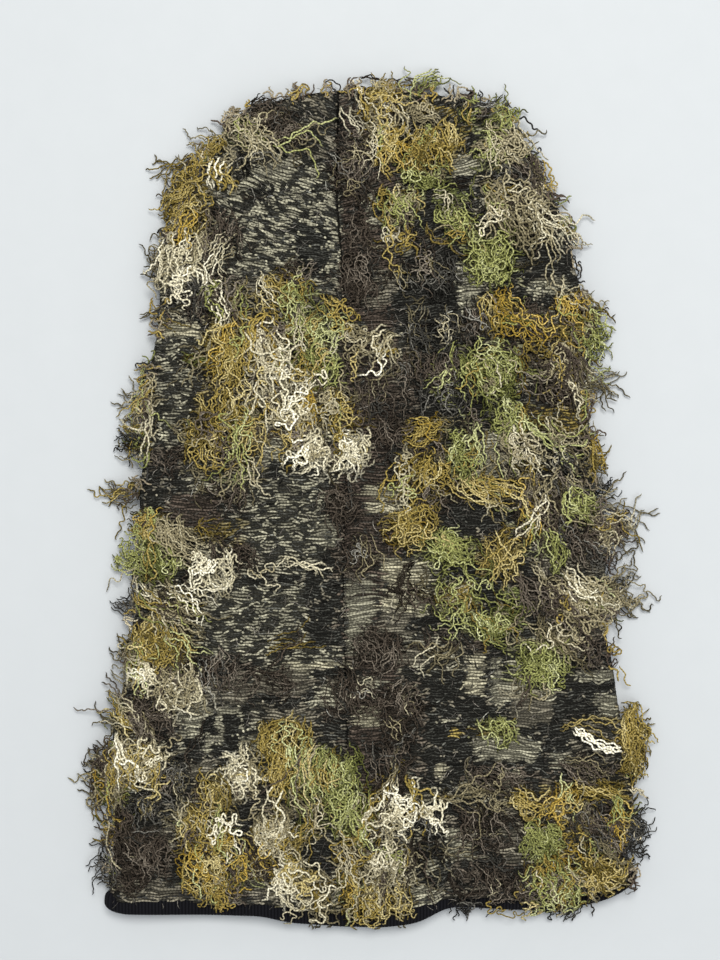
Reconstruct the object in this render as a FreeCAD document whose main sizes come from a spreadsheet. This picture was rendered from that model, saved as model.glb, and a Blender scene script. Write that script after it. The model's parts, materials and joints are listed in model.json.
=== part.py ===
import FreeCAD, Part
import math
import os

import Sketcher

# A knitted camouflage hood (a ghillie balaclava) lying flat on its face, in millimetres.
# +Z is up, +Y runs from the neck opening to the crown, and the origin is on the table
# under the middle of the object. The hood is one knitted bag: a flattened tube with a
# sewn crown, a centre back seam, a ribbed hem at the mouth and cut yarn tufts all over.

Vec = FreeCAD.Vector

DIMENSIONS = [
    # alias, value, what it is
    ("knit_centre_x", 2.5, "the bag's own centre line"),
    ("hem_half_width", 120.0, "half the mouth's width, laid flat"),
    ("shoulder_half_width", 94.6, "half the width where the crown begins"),
    ("mouth_y", -187.0, "edge of the neck opening"),
    ("shoulder_y", 90.0, "where the crown begins"),
    ("bevel_end_y", 165.7, "end of the long crown curve"),
    ("corner_end_y", 180.0, "end of the tight crown curve"),
    ("bevel_radius", 170.0, "long crown curve"),
    ("corner_radius", 34.0, "tight crown curve"),
    ("lift", 3.0, "flattened tufts under the bag"),
    ("bag_height", 12.6, "both layers and the air between them"),
    ("side_radius", 6.0, "the turn of the fabric at each side"),
    ("knit_thickness", 2.4, "one layer of knitting"),
    ("side_width", 7.0, "width of the side turn, seen from above"),
    ("fold_y", -62.0, "where the neck folds up"),
    ("fold_clearance", 0.3, "between the two parts at the fold"),
    ("hem_height", 11.0, "ribbed band at the mouth"),
    ("seam_x", -9.0, "centre back seam"),
    ("dart_x", -13.0, "crown darts of the back and the front"),
    ("dart_start_y", 131.0, "lower end of the crown darts"),
    ("dart_end_y", 178.0, "upper end of the crown darts"),
    ("side_dart_y", 112.0, "lower end of the darts that follow the crown's sides"),
    ("side_dart_x", 26.0, "their upper ends, either side of the bag's centre line"),
    ("side_dart_inset", 6.0, "from the outline to the darts at the sides"),
    ("seam_width", 4.0, "overlocked edge inside the bag"),
    ("seam_depth", 1.4, "overlocked edge inside the bag"),
    ("thread_width", 1.2, "hem stitching"),
    ("thread_depth", 0.5, "hem stitching"),
    ("thread_inset", 11.0, "from each side of the mouth to the ends of the stitching"),
    ("tuft_height", 8.0, "cut yarn standing on the back"),
    ("pad_radius", 17.0, "flattened tuft under the bag"),
    ("fringe_lift", 1.5, "gap under the fringe"),
    ("fringe_height", 10.0, "thickness of the fringe"),
    ("fringe_slope", 5.0, "how far each clump narrows towards its top"),
    ("reach", 300.0, "larger than the object, for cutting boxes"),
]

doc = FreeCAD.newDocument("ghillie_hood")
sheet = doc.addObject("Spreadsheet::Sheet", "Dims")
for row, (alias, value, note) in enumerate(DIMENSIONS, start=1):
    sheet.set(f"A{row}", alias)
    sheet.set(f"B{row}", str(value))
    sheet.set(f"C{row}", note)
    sheet.setAlias(f"B{row}", alias)
doc.recompute()
size = {alias: float(sheet.get(alias)) for alias, _, _ in DIMENSIONS}
sub_parts = []


def bind(thing, **expressions):
    """Binds properties to sheet cells; two underscores in a name stand for a dot."""
    for name, expression in expressions.items():
        thing.setExpression(name.replace("__", "."), expression)
    return thing


def keep(thing, label):
    """Marks an object as a sub-part of the hood and names its file."""
    thing.Label = label
    sub_parts.append(thing)
    return thing


# ---------------------------------------------------------------- outline of the bag


def arc(centre, radius, start, end):
    """An arc from one angle to another, in degrees, anticlockwise."""
    circle = Part.Circle(centre, Vec(0, 0, 1), radius)
    return Part.ArcOfCircle(circle, math.radians(start), math.radians(end))


def crown_points():
    """Centres and radii of the crown's arcs on the +X side, and the lean at each joint."""
    lean = math.atan2(
        size["hem_half_width"] - size["shoulder_half_width"],
        size["shoulder_y"] - size["mouth_y"],
    )
    long_r, tight_r = size["bevel_radius"], size["corner_radius"]
    long_c = Vec(
        size["shoulder_half_width"] - long_r * math.cos(lean),
        size["shoulder_y"] - long_r * math.sin(lean),
        0,
    )
    turn = math.asin((size["bevel_end_y"] - long_c.y) / long_r)
    tight_c = long_c + Vec(math.cos(turn), math.sin(turn), 0) * (long_r - tight_r)
    top = math.asin((size["corner_end_y"] - tight_c.y) / tight_r)
    crown_r = tight_r + tight_c.x / math.cos(top)
    crown_c = Vec(0, tight_c.y - tight_c.x * math.tan(top), 0)
    angles = [math.degrees(a) for a in (lean, turn, top)]
    return long_c, long_r, tight_c, tight_r, crown_c, crown_r, angles


def flip(point):
    """The same point on the -X side."""
    return Vec(-point.x, point.y, 0)


def draw_outline(sketch):
    """The bag's outline as a closed, constrained loop, symmetric about the sketch's Y axis."""
    long_c, long_r, tight_c, tight_r, crown_c, crown_r, (lean, turn, top) = crown_points()
    hem, shoulder = size["hem_half_width"], size["shoulder_half_width"]
    mouth, rise = size["mouth_y"], size["shoulder_y"]
    edges = [
        Part.LineSegment(Vec(-hem, mouth, 0), Vec(hem, mouth, 0)),
        Part.LineSegment(Vec(hem, mouth, 0), Vec(shoulder, rise, 0)),
        arc(long_c, long_r, lean, turn),
        arc(tight_c, tight_r, turn, top),
        arc(crown_c, crown_r, top, 180 - top),
        arc(flip(tight_c), tight_r, 180 - top, 180 - turn),
        arc(flip(long_c), long_r, 180 - turn, 180 - lean),
        Part.LineSegment(Vec(-shoulder, rise, 0), Vec(-hem, mouth, 0)),
    ]
    sketch.addGeometry(edges, False)
    rule = Sketcher.Constraint
    sketch.addConstraint([
        rule("Coincident", 0, 2, 1, 1),
        rule("Tangent", 1, 2, 2, 1),
        rule("Tangent", 2, 2, 3, 1),
        rule("Tangent", 3, 2, 4, 1),
        rule("Coincident", 4, 2, 5, 1),
        rule("Tangent", 5, 2, 6, 1),
        rule("Tangent", 6, 2, 7, 1),
        rule("Coincident", 7, 2, 0, 1),
        rule("Horizontal", 0),
    ])
    measures = [
        ("mouth_line", rule("DistanceY", 0, 1, mouth), "Dims.mouth_y"),
        ("mouth_right", rule("DistanceX", 0, 2, hem), "Dims.hem_half_width"),
        ("mouth_left", rule("DistanceX", 0, 1, -hem), "-Dims.hem_half_width"),
        ("shoulder_right", rule("DistanceX", 1, 2, shoulder), "Dims.shoulder_half_width"),
        ("shoulder_left", rule("DistanceX", 7, 1, -shoulder), "-Dims.shoulder_half_width"),
        ("shoulder_rise", rule("DistanceY", 1, 2, rise), "Dims.shoulder_y"),
        ("shoulder_rise_left", rule("DistanceY", 7, 1, rise), "Dims.shoulder_y"),
        ("bevel", rule("Radius", 2, long_r), "Dims.bevel_radius"),
        ("bevel_left", rule("Radius", 6, long_r), "Dims.bevel_radius"),
        ("corner", rule("Radius", 3, tight_r), "Dims.corner_radius"),
        ("corner_left", rule("Radius", 5, tight_r), "Dims.corner_radius"),
        ("bevel_end", rule("DistanceY", 2, 2, size["bevel_end_y"]), "Dims.bevel_end_y"),
        ("bevel_end_left", rule("DistanceY", 6, 1, size["bevel_end_y"]), "Dims.bevel_end_y"),
        ("corner_end", rule("DistanceY", 3, 2, size["corner_end_y"]), "Dims.corner_end_y"),
        ("corner_end_left", rule("DistanceY", 5, 1, size["corner_end_y"]), "Dims.corner_end_y"),
    ]
    for name, constraint, expression in measures:
        index = sketch.addConstraint(constraint)
        sketch.renameConstraint(index, name)
        sketch.setExpression(f"Constraints.{name}", expression)


# ---------------------------------------------------------------- the knitted bag

bag = doc.addObject("PartDesign::Body", "bag")
bag_sketch = bag.newObject("Sketcher::SketchObject", "bag_outline")
ground = next(plane for plane in bag.Origin.OriginFeatures if plane.Role == "XY_Plane")
bag_sketch.AttachmentSupport = (ground, [""])
bag_sketch.MapMode = "FlatFace"
draw_outline(bag_sketch)
doc.recompute()
bag_pad = bag.newObject("PartDesign::Pad", "bag_pad")
bag_pad.Profile = bag_sketch
bind(bag_pad, Length="Dims.bag_height")
doc.recompute()


def rim_edges(shape):
    """The edges round the top and bottom faces, without those at the mouth."""
    names = []
    box = shape.BoundBox
    for number, edge in enumerate(shape.Edges, start=1):
        low, high = edge.BoundBox.ZMin, edge.BoundBox.ZMax
        level = high - low < 1e-6 and (abs(low - box.ZMin) < 1e-6 or abs(high - box.ZMax) < 1e-6)
        if level and edge.BoundBox.YMax > box.YMin + 1e-3:
            names.append(f"Edge{number}")
    return names


side_turn = bag.newObject("PartDesign::Fillet", "side_turn")
side_turn.Base = (bag_pad, rim_edges(bag_pad.Shape))
bind(side_turn, Radius="Dims.side_radius")
doc.recompute()

mouth_face = next(
    f"Face{n}"
    for n, face in enumerate(side_turn.Shape.Faces, start=1)
    if face.BoundBox.YMax < size["mouth_y"] + 1e-3
)
hollow = bag.newObject("PartDesign::Thickness", "hollow")
hollow.Base = (side_turn, [mouth_face])
hollow.Reversed = True
bind(hollow, Value="Dims.knit_thickness")
bag.Tip = hollow
bind(bag, Placement__Base__x="Dims.knit_centre_x", Placement__Base__z="Dims.lift")
doc.recompute()


# ---------------------------------------------------------------- cutting tools


def outline_prism(name, offset=None):
    """A tall prism of the bag's outline, or of the outline moved inwards by an offset."""
    plan = doc.addObject("Sketcher::SketchObject", f"{name}_plan")
    draw_outline(plan)
    bind(plan, Placement__Base__x="Dims.knit_centre_x")
    if offset:
        grown = doc.addObject("Part::Offset2D", f"{name}_offset")
        grown.Source = plan
        grown.Join = 2
        plan = bind(grown, Value=offset)
    prism = doc.addObject("Part::Extrusion", name)
    prism.Base = plan
    prism.DirMode = "Custom"
    prism.Dir = Vec(0, 0, 1)
    prism.Solid = True
    prism.Symmetric = True
    return bind(prism, LengthFwd="Dims.reach")


outside = outline_prism("outside")
middle = outline_prism("middle", "-Dims.side_width")
dart_outer = outline_prism("dart_outer", "-Dims.side_dart_inset")
dart_inner = outline_prism("dart_inner", "-Dims.side_dart_inset - Dims.seam_width")


def region(name, x=(None, None), y=(None, None), z=(None, None)):
    """A box between two expressions on each axis; None reaches past the object."""
    box = doc.addObject("Part::Box", name)
    for axis, length, (low, high) in (("x", "Length", x), ("y", "Width", y), ("z", "Height", z)):
        low, high = low or "-Dims.reach", high or "Dims.reach"
        bind(box, **{f"Placement__Base__{axis}": low, length: f"({high}) - ({low})"})
    return box


def common(name, *things):
    made = doc.addObject("Part::MultiCommon", name)
    made.Shapes = list(things)
    return made


def cut(name, base, tool):
    made = doc.addObject("Part::Cut", name)
    made.Base, made.Tool = base, tool
    return made


def gathered(name, *things):
    made = doc.addObject("Part::Compound", name)
    made.Links = list(things)
    return made


# ---------------------------------------------------------------- panels, sides and hem

half_z = "Dims.lift + Dims.bag_height / 2"
top_z = "Dims.lift + Dims.bag_height"
hem_top = "Dims.mouth_y + Dims.hem_height"
fold_top = "Dims.fold_y + Dims.fold_clearance / 2"
fold_bottom = "Dims.fold_y - Dims.fold_clearance / 2"
spans = {"upper": (fold_top, None), "lower": (hem_top, fold_bottom)}

panels = (
    ("back_left", (None, "Dims.seam_x"), (half_z, None)),
    ("back_right", ("Dims.seam_x", None), (half_z, None)),
    ("front", (None, None), (None, half_z)),
)
turns = (
    ("side_left", (None, "Dims.knit_centre_x")),
    ("side_right", ("Dims.knit_centre_x", None)),
)

for part_name, span in spans.items():
    for panel, sides, levels in panels:
        label = f"{panel}_{part_name}"
        box = region(f"{label}_box", x=sides, y=span, z=levels)
        keep(common(f"{label}_knit", bag, middle, box), label)
    for turn, sides in turns:
        label = f"{turn}_{part_name}"
        strip = common(f"{label}_strip", bag, region(f"{label}_box", x=sides, y=span))
        keep(cut(f"{label}_knit", strip, middle), label)

keep(common("hem_ring", bag, region("hem_box", y=(None, hem_top))), "hem_band")


# ---------------------------------------------------------------- seams inside the bag

back_inside = "Dims.lift + Dims.bag_height - Dims.knit_thickness"
front_inside = "Dims.lift + Dims.knit_thickness"
on_back = (f"{back_inside} - Dims.seam_depth", back_inside)
on_front = (front_inside, f"{front_inside} + Dims.seam_depth")
seam_sides = ("Dims.seam_x - Dims.seam_width / 2", "Dims.seam_x + Dims.seam_width / 2")
dart_sides = ("Dims.dart_x - Dims.seam_width / 2", "Dims.dart_x + Dims.seam_width / 2")
dart_span = ("Dims.dart_start_y", "Dims.dart_end_y")

for label, sides, span, level in (
    ("centre_seam_upper", seam_sides, (fold_top, "Dims.dart_start_y"), on_back),
    ("centre_seam_lower", seam_sides, (hem_top, fold_bottom), on_back),
    ("crown_dart_back", dart_sides, dart_span, on_back),
    ("crown_dart_front", dart_sides, dart_span, on_front),
):
    keep(region(f"{label}_edge", x=sides, y=span, z=level), label)

dart_ring = cut("dart_ring", dart_outer, dart_inner)
for label, sides in (
    ("crown_dart_left", (None, "Dims.knit_centre_x - Dims.side_dart_x")),
    ("crown_dart_right", ("Dims.knit_centre_x + Dims.side_dart_x", None)),
):
    span = region(f"{label}_box", x=sides, y=("Dims.side_dart_y", None), z=on_back)
    keep(common(f"{label}_edge", dart_ring, span), label)

stitch_ends = (
    "Dims.knit_centre_x - Dims.hem_half_width + Dims.thread_inset",
    "Dims.knit_centre_x + Dims.hem_half_width - Dims.thread_inset",
)
stitch_span = (f"{hem_top} - 2 * Dims.thread_width", f"{hem_top} - Dims.thread_width")
over_back = (top_z, f"{top_z} + Dims.thread_depth")
under_front = ("Dims.lift - Dims.thread_depth", "Dims.lift")
back_stitch = region("back_stitch", x=stitch_ends, y=stitch_span, z=over_back)
front_stitch = region("front_stitch", x=stitch_ends, y=stitch_span, z=under_front)
keep(gathered("hem_stitch_lines", back_stitch, front_stitch), "hem_stitching")


# ---------------------------------------------------------------- tufts of cut yarn

# Each tuft is (x, y, half width, half length): where its yarn stands on the back.
TUFTS = {
    "cream": {
        "upper": [(-38, 68, 8, 10), (-20, 26, 15, 8), (6, 66, 8, 11), (-74, -27, 9, 13)],
        "lower": [(-84, -82, 9, 9), (-44, -124, 10, 12), (-30, -163, 10, 12), (24, -138, 10, 8)],
    },
    "mustard": {
        "upper": [(-74, 128, 9, 13), (28, 158, 10, 9), (96, 82, 8, 8), (-62, 34, 14, 14), (26, 12, 10, 12)],
        "lower": [
            (-70, -150, 14, 16), (-38, -104, 9, 7), (4, -163, 9, 12), (110, -112, 6, 12), (92, -134, 8, 7),
        ],
    },
    "green": {
        "upper": [(36, 132, 13, 9), (58, 112, 7, 10), (62, 52, 7, 20), (44, -14, 10, 9), (66, -42, 8, 8)],
        "lower": [(-14, -120, 12, 11), (80, -158, 9, 16), (56, -100, 8, 6), (88, -76, 8, 9)],
    },
    "tan": {
        "upper": [(-50, 156, 10, 7), (70, 134, 10, 14), (92, 38, 8, 10), (98, -36, 8, 14), (-12, 88, 9, 8)],
        "lower": [(-96, -112, 8, 12), (-2, -142, 9, 8), (44, -128, 8, 7), (100, -164, 8, 8)],
    },
    "brown": {
        "upper": [(-2, 130, 9, 22), (-62, 108, 9, 9), (14, 96, 8, 10), (-50, -2, 12, 8), (84, 12, 10, 8)],
        "lower": [(-60, -82, 10, 9), (12, -100, 8, 14), (-96, -150, 10, 14), (52, -160, 10, 14)],
    },
    "charcoal": {
        "upper": [(30, 80, 7, 18), (-30, 110, 12, 10), (4, -30, 9, 12)],
        "lower": [(36, -80, 12, 8), (-16, -92, 9, 9), (68, -128, 8, 9)],
    },
}


def dome(name, x, y, half_width, half_length):
    """Half an ellipsoid standing on the back of the bag."""
    blob = doc.addObject("Part::Ellipsoid", name)
    blob.Angle1 = 0
    bind(
        blob,
        Radius1="Dims.tuft_height",
        Radius2=f"{half_width} mm",
        Radius3=f"{half_length} mm",
        Placement__Base__x=f"{x} mm",
        Placement__Base__y=f"{y} mm",
        Placement__Base__z=top_z,
    )
    return blob


for colour, by_part in TUFTS.items():
    for part_name, places in by_part.items():
        label = f"{colour}_tufts_{part_name}"
        domes = [dome(f"{label}_{n}", *place) for n, place in enumerate(places)]
        keep(gathered(f"{label}_group", *domes), label)


# ---------------------------------------------------------------- fringe round the edge

# (x, y, radius) of the clumps of yarn that spill past the edge onto the table, where the
# outermost ones set the object's overall size.
FRINGE = {
    "fringe_upper": [
        (-78, 128, 20), (-88, 48, 18), (-98, -4, 15), (-98, -40, 17), (-42, 168, 17),
        (32, 177.8, 19), (64, 160, 18), (78, 122, 17), (92, 76, 18), (98, 32, 15), (104, -14, 21),
    ],
    "fringe_lower": [
        (-106, -112, 24.3), (-108, -164, 14), (110, -106, 20.3), (113, -152, 16),
        (-60, -178, 13), (-8, -181, 13), (44, -180.8, 16), (84, -179, 14),
    ],
}

for label, places in FRINGE.items():
    clumps = []
    for number, (x, y, radius) in enumerate(places):
        clump = doc.addObject("Part::Cone", f"{label}_{number}")
        bind(
            clump,
            Radius1=f"{radius}",
            Radius2=f"{radius} - Dims.fringe_slope",
            Height="Dims.fringe_height",
            Placement__Base__x=f"{x} mm",
            Placement__Base__y=f"{y} mm",
            Placement__Base__z="Dims.fringe_lift",
        )
        clumps.append(cut(f"{label}_{number}_spill", clump, outside))
    keep(gathered(f"{label}_group", *clumps), label)


# ---------------------------------------------------------------- flattened tufts underneath

# (x, y) of each pad that the bag rests on.
PADS = {
    "under_tufts_upper": [
        (-70, -35), (72, -35), (0, -20), (-66, 40), (66, 40), (0, 60), (-48, 118), (48, 118), (0, 150),
    ],
    "under_tufts_lower": [(-88, -155), (92, -155), (0, -150), (-82, -95), (86, -95), (2, -95)],
}

for label, places in PADS.items():
    pads = []
    for number, (x, y) in enumerate(places):
        pad = doc.addObject("Part::Cylinder", f"{label}_{number}")
        bind(
            pad,
            Radius="Dims.pad_radius",
            Height="Dims.lift",
            Placement__Base__x=f"{x} mm",
            Placement__Base__y=f"{y} mm",
        )
        pads.append(pad)
    keep(gathered(f"{label}_group", *pads), label)


# ---------------------------------------------------------------- check and write

doc.recompute()
failed = [o.Name for o in doc.Objects if {"Invalid", "Error"} & set(o.State)]
if failed:
    raise SystemExit(f"objects that did not compute: {failed}")
for thing in sub_parts:
    if thing.Shape.isNull() or not thing.Shape.isValid() or not thing.Shape.Solids:
        raise SystemExit(f"{thing.Label} has no valid solid")

os.makedirs("parts", exist_ok=True)
for thing in sub_parts:
    thing.Shape.exportStep(f"parts/{thing.Label}.step")
print(f"{len(sub_parts)} sub-parts written")
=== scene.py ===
"""The looks of the laid-flat camouflage hood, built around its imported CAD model.

Lengths are in millimetres, in the frame of the CAD model, until a mesh is made.
"""

import json
import math
from collections import namedtuple

import bpy
import numpy as np
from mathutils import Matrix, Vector


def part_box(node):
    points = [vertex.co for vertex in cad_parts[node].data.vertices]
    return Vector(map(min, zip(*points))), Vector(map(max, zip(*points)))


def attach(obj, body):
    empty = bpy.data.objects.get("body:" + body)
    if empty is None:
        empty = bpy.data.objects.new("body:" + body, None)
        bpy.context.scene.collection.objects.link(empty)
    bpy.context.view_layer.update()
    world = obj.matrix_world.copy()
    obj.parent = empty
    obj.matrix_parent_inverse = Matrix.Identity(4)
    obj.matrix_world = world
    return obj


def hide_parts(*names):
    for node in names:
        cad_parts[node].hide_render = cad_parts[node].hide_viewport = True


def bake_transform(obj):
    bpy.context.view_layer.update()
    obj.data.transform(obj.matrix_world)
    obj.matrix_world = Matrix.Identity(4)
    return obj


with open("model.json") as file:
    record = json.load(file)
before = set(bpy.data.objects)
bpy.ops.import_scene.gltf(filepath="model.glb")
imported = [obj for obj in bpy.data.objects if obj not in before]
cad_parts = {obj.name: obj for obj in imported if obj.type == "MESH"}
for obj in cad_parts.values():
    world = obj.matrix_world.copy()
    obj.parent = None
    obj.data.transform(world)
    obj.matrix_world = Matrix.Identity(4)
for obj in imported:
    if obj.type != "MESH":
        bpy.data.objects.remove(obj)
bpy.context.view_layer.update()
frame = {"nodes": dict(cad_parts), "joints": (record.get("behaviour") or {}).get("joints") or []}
rng = np.random.default_rng(326)

MM = 0.001
HOOD, NECK = "hood", "neck"

# ------------------------------------------------------------------ places, from the frame


def box_mm(node):
    """Lowest and highest corners of a CAD node, in millimetres."""
    low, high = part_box(node)
    return np.array(low) / MM, np.array(high) / MM


hem_low, hem_high = box_mm("hem_band")
back_low, back_high = box_mm("back_right_upper")
crown_y = box_mm("side_left_upper")[1][1]
FOLD_Y = frame["joints"][0]["pos_m"][1] / MM
FOLD_START_Y, FOLD_END_Y = FOLD_Y + 7, FOLD_Y - 27
CENTRE_X = (hem_low[0] + hem_high[0]) / 2
HEM_HALF = (hem_high[0] - hem_low[0]) / 2
MOUTH_Y = hem_low[1]
SEAM_X = back_low[0]
BAG_LOW, BAG_HIGH = hem_low[2], hem_high[2]

# the outline: a leaning side, then the crown's three arcs
SHOULDER_HALF, SHOULDER_Y = 94.6, 90.0
BEVEL_END_Y, CORNER_END_Y = 165.7, 180.0
BEVEL_RADIUS, CORNER_RADIUS = 170.0, 34.0
# (y, width) of where the side bulges: low down on both sides, and higher up on the left
BULGE = 3.5
LOW_BULGE, LEFT_BULGE = (-122, 30), (66, 34)
# how far up from the mouth its waves reach, and how far up its layers lie close
WAVE_REACH, MOUTH_FADE = 26, 45

# heights: the dome and how soon it rises, the side turns, and the hem's ripples with their length in one radian
DOME, DOME_REACH = 2.6, 30
BACK_TURN, FRONT_TURN = 9.0, 8.0
HEM_RIPPLE, RIPPLE_LENGTH = 1.3, 9.5
# nothing reaches lower than this over the table
TABLE_GAP = 0.15

# the knitting and its yarn
ROW_PITCH, WALE_PITCH = 1.35, 1.5
KNIT_THICKNESS = 1.5
YARN_RADIUS, PLY_PITCH = 0.43, 1.5
RIB_PITCH, RIB_STITCH = 1.5, 1.1
# rows droop towards the crown dart: how far at the left and the right of it, and how near they start to
DROOP_LEFT, DROOP_RIGHT, DROOP_REACH = 34.0, 26.0, 95

# ------------------------------------------------------------------ outline


def smooth_step(value, low, high):
    """From 0 at low to 1 at high, with no kinks."""
    t = np.clip((np.asarray(value, float) - low) / (high - low), 0, 1)
    return t * t * (3 - 2 * t)


def bump_at(value, centre, width):
    """A smooth bump of height 1."""
    return np.exp(-(((np.asarray(value, float) - centre) / width) ** 2))


def half_width(y):
    """Half the bag's width at y: a leaning side, then the crown's three arcs."""
    y = np.clip(np.asarray(y, float), MOUTH_Y, crown_y)
    lean = math.atan2(HEM_HALF - SHOULDER_HALF, SHOULDER_Y - MOUTH_Y)
    long_x = SHOULDER_HALF - BEVEL_RADIUS * math.cos(lean)
    long_y = SHOULDER_Y - BEVEL_RADIUS * math.sin(lean)
    turn = math.asin((BEVEL_END_Y - long_y) / BEVEL_RADIUS)
    tight_x = long_x + math.cos(turn) * (BEVEL_RADIUS - CORNER_RADIUS)
    tight_y = long_y + math.sin(turn) * (BEVEL_RADIUS - CORNER_RADIUS)
    top = math.asin((CORNER_END_Y - tight_y) / CORNER_RADIUS)
    crown_r = CORNER_RADIUS + tight_x / math.cos(top)
    crown_c = tight_y - tight_x * math.tan(top)

    def arc_x(centre_x, centre_y, radius):
        return centre_x + np.sqrt(np.maximum(radius**2 - (y - centre_y) ** 2, 0))

    side = HEM_HALF + (SHOULDER_HALF - HEM_HALF) * (y - MOUTH_Y) / (SHOULDER_Y - MOUTH_Y)
    out = np.where(y > SHOULDER_Y, arc_x(long_x, long_y, BEVEL_RADIUS), side)
    out = np.where(y > BEVEL_END_Y, arc_x(tight_x, tight_y, CORNER_RADIUS), out)
    return np.where(y > CORNER_END_Y, arc_x(0, crown_c, crown_r), out)


def edge_x(y, side):
    """Where the soft edge lies at y, on the left (side -1) or right (+1), with its waves."""
    phase = 0.6 if side < 0 else 2.1
    wave = 1.5 * np.sin(y / 17 + phase) + 1.0 * np.sin(y / 8.3 + 2 * phase)
    wave = wave + BULGE * bump_at(y, *LOW_BULGE)
    if side < 0:
        wave = wave + BULGE * bump_at(y, *LEFT_BULGE)
    return CENTRE_X + side * (half_width(y) + wave * smooth_step(crown_y - y, 8, 45))


# (x, how far the mouth lies from MOUTH_Y there, up if more than 0)
MOUTH_LINE = (
    (-124, 7), (-117, 2), (-112, 0), (-80, -0.6), (-47, -0.8), (-34, -4), (-12, -6), (8, -6),
    (24, -4), (38, 3), (52, 2.6), (70, 2), (88, 2.4), (104, 4.4), (114, 8), (121, 13), (128, 20),
)


def mouth_shift(x, y):
    """How far the wavy mouth moves the rows near it, along Y."""
    places = np.array(MOUTH_LINE)
    shift = sum(np.interp(x + step, places[:, 0], places[:, 1]) for step in (-4, -2, 0, 2, 4)) / 5
    return shift * np.exp(-np.maximum(y - MOUTH_Y, 0) / WAVE_REACH)


def outline_points():
    """The outline as points about a millimetre apart."""
    sides = []
    for side in (-1, 1):
        y = MOUTH_Y + (crown_y - MOUTH_Y) * np.sin(np.linspace(0, math.pi / 2, 700))
        x = edge_x(y, side)
        sides.append(np.column_stack([x, y + mouth_shift(x, y)]))
    x = np.linspace(edge_x(MOUTH_Y, -1), edge_x(MOUTH_Y, 1), 240)
    sides.append(np.column_stack([x, MOUTH_Y + mouth_shift(x, MOUTH_Y)]))
    return np.vstack(sides)


# ------------------------------------------------------------------ heights on a millimetre grid

# how high yarn lies on the table
PAPER_Z = 0.7
GRID_X = np.arange(-152.0, 153.0)
GRID_Y = np.arange(-218.0, 219.0)


def edge_distance():
    """Distance to the outline on the grid, positive inside."""
    line = outline_points()
    distance = np.empty((len(GRID_Y), len(GRID_X)))
    for row, y in enumerate(GRID_Y):
        gaps = (GRID_X[:, None] - line[None, :, 0]) ** 2 + (y - line[None, :, 1]) ** 2
        distance[row] = np.sqrt(gaps.min(1))
    x, y = np.meshgrid(GRID_X, GRID_Y)
    level = y - mouth_shift(x, y)
    inside = (level > MOUTH_Y) & (level < crown_y) & (x > edge_x(level, -1)) & (x < edge_x(level, 1))
    return np.where(inside, distance, -distance)


def on_grid(values, x, y):
    """Bilinear reading of a grid at points."""
    column = np.clip(np.asarray(x, float) - GRID_X[0], 0, len(GRID_X) - 1.001)
    row = np.clip(np.asarray(y, float) - GRID_Y[0], 0, len(GRID_Y) - 1.001)
    c, r = column.astype(int), row.astype(int)
    fc, fr = column - c, row - r
    low = values[r, c] * (1 - fc) + values[r, c + 1] * fc
    high = values[r + 1, c] * (1 - fc) + values[r + 1, c + 1] * fc
    return low * (1 - fr) + high * fr


def soft_noise(x, y, scale, seed, octaves=3):
    """Smooth seeded noise between about -1 and 1: sums of waves in random directions."""
    maker = np.random.default_rng(seed)
    total = np.zeros(np.broadcast(x, y).shape)
    weight = 0.0
    for octave in range(octaves):
        strength = 0.55**octave
        for _ in range(6):
            angle = maker.uniform(0, 2 * math.pi)
            length = scale * maker.uniform(0.7, 1.4) / 2**octave
            phase = maker.uniform(0, 2 * math.pi)
            along = x * math.cos(angle) + y * math.sin(angle)
            total = total + strength * np.sin(2 * math.pi * along / length + phase)
        weight += strength * math.sqrt(3)
    return total / weight


DISTANCE = edge_distance()


def thinness(y):
    """1 at the mouth, where the layers lie close, and 0 further up."""
    return 1 - smooth_step(y, MOUTH_Y, MOUTH_Y + MOUTH_FADE)


def middle_height(y):
    """Height halfway between the layers."""
    return (BAG_LOW + BAG_HIGH) / 2 - 2.6 * thinness(y)


def ripple(x):
    return np.sin(x / RIPPLE_LENGTH)


def side_round(distance, width):
    """From 0 at the edge to 1 where the side turn ends, as a quarter ellipse."""
    t = np.clip(distance / width, 0, 1)
    return np.sqrt(1 - (1 - t) ** 2)


def back_height(x, y, distance):
    """Height of the visible layer: a rounded side, a low dome, folds, darts and the seam."""
    rise = (BAG_HIGH - BAG_LOW) / 2 - 2.2 * thinness(y)
    dome = DOME * (1 - np.exp(-np.maximum(distance, 0) / DOME_REACH))
    folds = 1.0 * soft_noise(x, y, 62, 11) + 0.45 * soft_noise(x, y, 24, 12)
    ripples = HEM_RIPPLE * thinness(y) * ripple(x) * smooth_step(distance, 2, 12)
    seam = -0.9 * bump_at(x, seam_line(y), 2.4) + 0.5 * bump_at(x, seam_line(y) - 5, 3)
    ridge = 1.7 * bump_at(x, seam_line(y) + 4, 3.4)
    dart = smooth_step(y, 122, 150) * (ridge - 0.8 * bump_at(x, seam_line(y), 1.6))
    relief = (folds + seam + dart) * smooth_step(distance, 0, 14)
    return middle_height(y) + rise * side_round(distance, BACK_TURN) + dome + relief + ripples


def front_height(x, y, distance):
    """Height of the layer underneath."""
    drop = (BAG_HIGH - BAG_LOW) / 2 - 2.4 * thinness(y)
    waves = 0.35 * soft_noise(x, y, 38, 21) * smooth_step(distance, 4, 14)
    return middle_height(y) - drop * side_round(distance, FRONT_TURN) + np.abs(waves)


def seam_line(y):
    """X of the centre seam, which the back's crown dart carries on."""
    return SEAM_X - 4.0 * smooth_step(y, 95, 150) + 0.8 * np.sin(np.asarray(y, float) / 23)


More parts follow.
